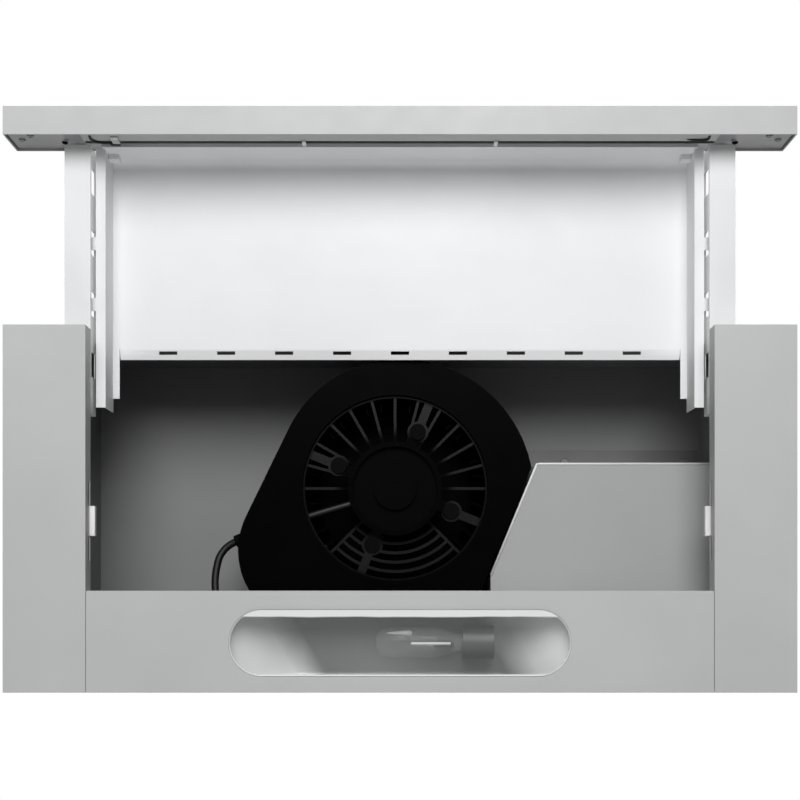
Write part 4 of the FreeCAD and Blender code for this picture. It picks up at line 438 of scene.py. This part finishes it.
# ---------------------------------------------------------------------------------------------
# Rounded edges on folded sheet and mouldings
# ---------------------------------------------------------------------------------------------
SHEET_EDGE, MOULDED_EDGE = 0.30 * MM, 0.45 * MM
SHEET_NODES = (
    "casing_rear casing_front casing_left casing_right flange_column_left flange_column_right "
    "lamp_panel lamp_housing drawer_bar drawer_pan end_plates side_cover_left side_cover_right "
    "cabinet_bracket_left cabinet_bracket_right slide_brackets "
    "slide_fixed_left slide_fixed_right slide_moving_left slide_moving_right"
)
MOULDED_NODES = (
    "filter_clips drawer_end_stops corner_clips bar_clips button_panel light_button "
    "low_speed_button middle_speed_button high_speed_button switch_plunger drawer_switch "
    "terminal_block circuit_board inlet_grille lamp_holder"
)
WELD_REACH = 0.005 * MM
SHARP_ANGLE = math.radians(38.0)
FLAT_WEIGHT = 60


def round_edges(piece, width):
    weld = piece.modifiers.new("weld", "WELD")
    weld.merge_threshold = WELD_REACH
    bevel = piece.modifiers.new("bevel", "BEVEL")
    bevel.width = width
    bevel.segments = 2
    bevel.limit_method = "ANGLE"
    bevel.angle_limit = SHARP_ANGLE
    bevel.use_clamp_overlap = True
    normals = piece.modifiers.new("normals", "WEIGHTED_NORMAL")
    normals.weight = FLAT_WEIGHT


for edge, names in ((SHEET_EDGE, SHEET_NODES), (MOULDED_EDGE, MOULDED_NODES)):
    for name in names.split():
        round_edges(NODES[name], edge)

# ---------------------------------------------------------------------------------------------
# Shapes for the small details
# ---------------------------------------------------------------------------------------------
def mesh_piece(name, points, faces, material, body):
    mesh = bpy.data.meshes.new(name)
    mesh.from_pydata(points, [], faces)
    mesh.shade_smooth()
    mesh.materials.append(material)
    piece = bpy.data.objects.new(name, mesh)
    bpy.context.scene.collection.objects.link(piece)
    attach(piece, body)
    return piece


def grid_piece(name, columns, rows, point, material, body):
    """A sheet of columns by rows cells whose corners come from point(u, v), u and v from 0 to 1."""
    points = [point(c / columns, r / rows) for r in range(rows + 1) for c in range(columns + 1)]
    step = columns + 1
    faces = [
        (r * step + c, r * step + c + 1, (r + 1) * step + c + 1, (r + 1) * step + c)
        for r in range(rows)
        for c in range(columns)
    ]
    return mesh_piece(name, points, faces, material, body)


def circle(sides):
    """Cosine and sine of each corner of a circle."""
    angles = [2.0 * math.pi * side / sides for side in range(sides)]
    return [(math.cos(angle), math.sin(angle)) for angle in angles]


def tube_piece(name, path, radius, material, body, sides=14):
    """A round closed tube through the path's points; radius may be a function of the share along it."""
    points, faces = [], []
    last = len(path) - 1
    for index, place in enumerate(path):
        ahead = path[min(index + 1, last)] - path[max(index - 1, 0)]
        turn = ahead.to_track_quat("Z", "Y")
        size = radius(index / last) if callable(radius) else radius
        points += [place + turn @ Vector((across, up, 0.0)) * size for across, up in circle(sides)]
    for index in range(last):
        for side in range(sides):
            a, b = index * sides + side, index * sides + (side + 1) % sides
            faces.append((a, b, b + sides, a + sides))
    faces.append(tuple(reversed(range(sides))))
    faces.append(tuple(range(last * sides, last * sides + sides)))
    return mesh_piece(name, points, faces, material, body)


def turned_piece(name, centre, outline, material, body, sides=24):
    """A piece turned about +Y: the outline gives radius and height in millimetres."""
    points, faces = [], []
    for radius, rise in outline:
        points += [centre + Vector((x * radius, rise, z * radius)) * MM for x, z in circle(sides)]
    for ring in range(len(outline) - 1):
        for side in range(sides):
            a, b = ring * sides + side, ring * sides + (side + 1) % sides
            faces.append((a, a + sides, b + sides, b))
    return mesh_piece(name, points, faces, material, body)


def block_piece(name, low, high, material, body):
    """A moulded block between two corners, its edges rounded."""
    points = [
        Vector((x, y, z)) for z in (low.z, high.z) for y in (low.y, high.y) for x in (low.x, high.x)
    ]
    faces = [(0, 2, 3, 1), (4, 5, 7, 6), (0, 1, 5, 4), (2, 6, 7, 3), (0, 4, 6, 2), (1, 3, 7, 5)]
    bevel = mesh_piece(name, points, faces, material, body).modifiers.new("bevel", "BEVEL")
    bevel.width = 0.4 * MM
    bevel.segments = 3


def smooth_path(corners, steps=8):
    """Catmull-Rom curve through the corners."""
    points = [corners[0] * 2.0 - corners[1], *corners, corners[-1] * 2.0 - corners[-2]]
    curve = []
    for a, b, c, d in zip(points, points[1:], points[2:], points[3:]):
        for step in range(steps):
            t = step / steps
            square = (2.0 * a - 5.0 * b + 4.0 * c - d) * t * t
            cube = (3.0 * b - a - 3.0 * c + d) * t * t * t
            curve.append(0.5 * (2.0 * b + (c - a) * t + square + cube))
    return curve + [corners[-1]]


# ---------------------------------------------------------------------------------------------
# Lamp: the pressed reflector behind the lens with painted reflections and shade, and what shows through
# the glass, with painted highlights and painted shade
# ---------------------------------------------------------------------------------------------
TROUGH_END, TROUGH_SIDE, TROUGH_DEPTH = 62.0 * MM, 8.0 * MM, 35.0 * MM
TROUGH_GAP = 1.2 * MM
TROUGH_COLUMNS, TROUGH_ROWS = 120, 40


def trough_point(u, v):
    """A point of the reflector: flat on top, round down its long sides and sloping at its ends."""
    low = HOUSING_LOW + Vector((TROUGH_GAP, TROUGH_GAP, 0.0))
    high = HOUSING_HIGH - Vector((TROUGH_GAP, TROUGH_GAP, TROUGH_GAP))
    x, y = low.x + (high.x - low.x) * u, low.y + (high.y - low.y) * v
    end = max(0.0, 1.0 - min(x - low.x, high.x - x) / TROUGH_END)
    side = max(0.0, 1.0 - min(y - low.y, high.y - y) / TROUGH_SIDE)
    fall = min(1.0, 1.0 - math.sqrt(max(0.0, 1.0 - side * side)) + end**1.4)
    return Vector((x, y, high.z - TROUGH_DEPTH * fall))


# Places along the lamp, and how far each piece lies from the lamp's axis, in millimetres.
# A filament coil, coloured light as a painted highlight.
CORE_START, CORE_LENGTH, CORE_STEPS, CORE_COILS = 8.5, 30.5, 60, 22
CORE_RADIUS, CORE_WAVE = 1.15, 0.18
# Painted shade: a dark post behind the filament, where the lamp shows only shade.
SHADE_PLACES = (26.0, 28.0, 34.0, 40.0, 41.5)
SHADE_RADIUS, SHADE_SWELL = 1.2, 2.2
# Painted highlight: a light tube in front of the filament stands for the highlight on the glass.
GLASS_HIGHLIGHT_PLACES = (-10.0, -6.0, -1.0, 4.0, 8.0, 9.6)
GLASS_HIGHLIGHT_RADII = (0.5, 1.0, 1.5, 2.0, 2.2, 0.6)


def lamp_line(places, aside, above):
    """A path along the lamp's axis through the given places, moved aside and up."""
    y, z = (BULB_LOW.y + BULB_HIGH.y) / 2.0, (BULB_LOW.z + BULB_HIGH.z) / 2.0
    return [Vector((x * MM, y + aside * MM, z + above * MM)) for x in places]


def core_radius(share):
    return (CORE_RADIUS + CORE_WAVE * math.sin(share * CORE_COILS * 2.0 * math.pi)) * MM


def shade_radius(share):
    return (SHADE_RADIUS + SHADE_SWELL * math.sin(share * math.pi)) * MM


def glass_highlight_radius(share):
    return GLASS_HIGHLIGHT_RADII[round(share * (len(GLASS_HIGHLIGHT_RADII) - 1))] * MM


def lamp_details():
    grid_piece(
        "reflector_trough", TROUGH_COLUMNS, TROUGH_ROWS, trough_point,
        MATERIALS["reflector_steel"], "casing",
    )
    core_places = [CORE_START + CORE_LENGTH * step / CORE_STEPS for step in range(CORE_STEPS + 1)]
    # Painted highlight: the filament coil is coloured light to stand for the glint on it.
    filament_highlight_finish = lacquer("bulb_filament_highlight", (0.85, 0.85, 0.84), 0.3)
    core_path = lamp_line(core_places, aside=1.0, above=-4.0)
    tube_piece("bulb_filament_highlight", core_path, core_radius, filament_highlight_finish, "casing", sides=12)
    # Painted shade: a dark post put behind the filament.
    shade_finish = moulded("bulb_painted_shade", (0.02, 0.02, 0.02), 0.4)
    shade_path = lamp_line(SHADE_PLACES, aside=2.0, above=1.0)
    tube_piece("bulb_painted_shade", shade_path, shade_radius, shade_finish, "casing")
    # Painted highlight: a light tube stands for the highlight on the glass.
    glass_highlight_finish = lacquer("bulb_glass_highlight", (0.62, 0.64, 0.63), 0.35)
    glass_highlight_path = lamp_line(GLASS_HIGHLIGHT_PLACES, aside=-7.0, above=-3.0)
    tube_piece("bulb_glass_highlight", glass_highlight_path, glass_highlight_radius, glass_highlight_finish, "casing")


lamp_details()

# ---------------------------------------------------------------------------------------------
# Rounded fold along the electrics box's lower front and slanted edges, coloured light as a painted
# highlight
# ---------------------------------------------------------------------------------------------
FOLD = 1.1 * MM
FOLD_IN, FOLD_ASIDE = FOLD * 0.45, FOLD * 0.3
# The box's front stands behind its flange, and its left front corner is cut off by the slanted side.
BOX_FLANGE, SLANT_WIDTH, SLANT_DEPTH = 22.0 * MM, 37.0 * MM, 90.0 * MM
FRONT_Y, CORNER_X = COVER_LOW.y + BOX_FLANGE, COVER_LOW.x + SLANT_WIDTH


def box_fold_highlight():
    y, z = FRONT_Y + FOLD_IN, COVER_LOW.z + FOLD_IN
    route = [
        Vector((COVER_LOW.x + FOLD_ASIDE, FRONT_Y + SLANT_DEPTH, z)),
        Vector((CORNER_X + FOLD_ASIDE, y, z)),
        Vector((CORNER_X + 2.0 * FOLD, y, z)),
        Vector((COVER_HIGH.x - FOLD, y, z)),
    ]
    # Painted highlight: the fold is coloured twice as light as the box's paint to stand for the light
    # it catches.
    finish = lacquer("box_fold_highlight", (0.80, 0.802, 0.805), 0.25)
    tube_piece("box_fold_highlight", route, FOLD, finish, "casing")


box_fold_highlight()

# ---------------------------------------------------------------------------------------------
# Small fittings behind the bar: rubber studs, button wires, their clip and their plug
# ---------------------------------------------------------------------------------------------
STUD_INSET, STUD_RISE = 39.5 * MM, 21.6 * MM
STUD_OUTLINE = ((0.0, 1.5), (1.2, 1.45), (1.9, 1.1), (2.3, 0.5), (2.4, 0.0), (1.7, -0.8), (0.0, -0.8))

WIRE_RADIUS = 0.95 * MM
# Corners of each wire in millimetres, with y counted from a wire that lies on the bar.
WIRES = {
    "wire_left": (
        (-235.2, -1.4, -15.5), (-235.3, 0.0, -10.0), (-233.8, 0.0, -4.5), (-229.0, 0.0, -1.6),
        (-217.0, 0.0, -1.2),
    ),
    "wire_right": (
        (234.6, -1.4, -15.0), (234.6, 0.0, -11.0), (232.8, 0.0, -7.4), (226.0, 0.0, -6.7),
        (219.0, -1.4, -6.7),
    ),
}
# Lowest and highest corners of the clip and the plug in millimetres, with y counted from the bar.
CLIP_LOW, CLIP_HIGH = (-219.8, 0.0, -13.5), (-214.0, 2.4, -2.6)
PLUG_LOW, PLUG_HIGH = (-222.0, 0.1, -2.8), (-214.6, 2.8, 1.4)


def bar_point(place, start):
    """A place in millimetres as a point, its y counted from the given start."""
    x, y, z = place
    return Vector((x * MM, start + y * MM, z * MM))


def bar_fittings():
    for side, way in (("left", -1.0), ("right", 1.0)):
        seat = Vector((way * (PLATE_HIGH.x - STUD_INSET), PLATE_HIGH.y, PLATE_LOW.z + STUD_RISE))
        turned_piece(f"bar_stud_{side}", seat, STUD_OUTLINE, MATERIALS["black_rubber"], "drawer")
    for name, corners in WIRES.items():
        route = smooth_path([bar_point(corner, BAR_HIGH.y + WIRE_RADIUS) for corner in corners])
        tube_piece(name, route, WIRE_RADIUS, MATERIALS["lead_sheath"], "drawer")
    clip_finish = moulded("cable_clip", (0.52, 0.52, 0.52), 0.4)
    for name, low, high, finish in (
        ("cable_clip", CLIP_LOW, CLIP_HIGH, clip_finish),
        ("wire_plug", PLUG_LOW, PLUG_HIGH, MATERIALS["lead_sheath"]),
    ):
        block_piece(name, bar_point(low, BAR_HIGH.y), bar_point(high, BAR_HIGH.y), finish, "drawer")


bar_fittings()

# ---------------------------------------------------------------------------------------------
# Room: world, soft lamps and floor
# ---------------------------------------------------------------------------------------------
SKY_LIGHT, SEEN_LIGHT = 0.05, 1.0
FLOOR_REACH, FLOOR_Z, FLOOR_PALE = 6.0, -3.0, 0.72
PALE = (0.9, 0.9, 0.9)
MIDDLE, DRAWER_END, CASE_TOP = (0.0, -0.2, 0.0), (0.0, -0.4, 0.0), (0.0, -0.2, 0.1)


def background_rays(tree):
    """1 for the rays that show the background: camera, glossy and transmission rays."""
    path = tree.nodes.new("ShaderNodeLightPath")
    seen = path.outputs["Is Camera Ray"]
    for ray in ("Is Glossy Ray", "Is Transmission Ray"):
        either = tree.nodes.new("ShaderNodeMath")
        either.operation = "MAXIMUM"
        tree.links.new(seen, either.inputs[0])
        tree.links.new(path.outputs[ray], either.inputs[1])
        seen = either.outputs[0]
    return seen


def glowing(tree, kind, strength):
    """A white background or emission node."""
    node = tree.nodes.new(kind)
    node.inputs["Color"].default_value = (1.0, 1.0, 1.0, 1.0)
    node.inputs["Strength"].default_value = strength
    return node


def mixed_shader(tree, share, first, second):
    mix = tree.nodes.new("ShaderNodeMixShader")
    tree.links.new(share, mix.inputs["Fac"])
    tree.links.new(first.outputs[0], mix.inputs[1])
    tree.links.new(second.outputs[0], mix.inputs[2])
    return mix


def make_world():
    """A dim even sky that shows as white."""
    world = bpy.data.worlds.new("world")
    bpy.context.scene.world = world
    world.use_nodes = True
    tree = world.node_tree
    tree.nodes.clear()
    sky = glowing(tree, "ShaderNodeBackground", SKY_LIGHT)
    seen = glowing(tree, "ShaderNodeBackground", SEEN_LIGHT)
    mixed = mixed_shader(tree, background_rays(tree), sky, seen)
    output = tree.nodes.new("ShaderNodeOutputWorld")
    tree.links.new(mixed.outputs[0], output.inputs["Surface"])


def soft_lamp(name, aim, way, distance, radius, watts):
    """A round soft lamp at the given distance from its aim, along the given way."""
    data = bpy.data.lights.new(name, "AREA")
    data.shape = "DISK"
    data.size = 2.0 * radius
    data.energy = watts
    lamp = bpy.data.objects.new(name, data)
    way = Vector(way).normalized()
    lamp.location = Vector(aim) + way * distance
    lamp.rotation_euler = (-way).to_track_quat("-Z", "Y").to_euler()
    lamp.visible_camera = False
    bpy.context.scene.collection.objects.link(lamp)


def make_floor():
    """A plain pale floor, its own shade mixed with white for the rays that show the background."""
    corners = [(-1, -1), (1, -1), (1, 1), (-1, 1)]
    mesh = bpy.data.meshes.new("floor")
    points = [(x * FLOOR_REACH, y * FLOOR_REACH, FLOOR_Z) for x, y in corners]
    mesh.from_pydata(points, [], [(0, 1, 2, 3)])
    floor = bpy.data.objects.new("floor", mesh)
    bpy.context.scene.collection.objects.link(floor)
    g = Graph("floor_paint")
    painted = g.shader(PALE, 0.8)
    pale = glowing(g.tree, "ShaderNodeEmission", SEEN_LIGHT)
    share = g.math("MULTIPLY", background_rays(g.tree), FLOOR_PALE)
    mesh.materials.append(g.finish(mixed_shader(g.tree, share, painted, pale)))


make_world()
for name, aim, way, distance, radius, watts in (
    ("front_lamp", MIDDLE, (0.0, -0.48, -0.877), 2.6, 0.845, 60.0),
    ("left_lamp", MIDDLE, (-0.848, -0.05, -0.53), 2.2, 0.55, 2.5),
    ("rear_lamp", DRAWER_END, (0.0, 0.95, -0.31), 2.0, 0.30, 9.0),
    ("top_lamp", CASE_TOP, (0.15, -0.35, 1.0), 1.8, 0.9, 10.0),
):
    soft_lamp(name, aim, way, distance, radius, watts)
make_floor()
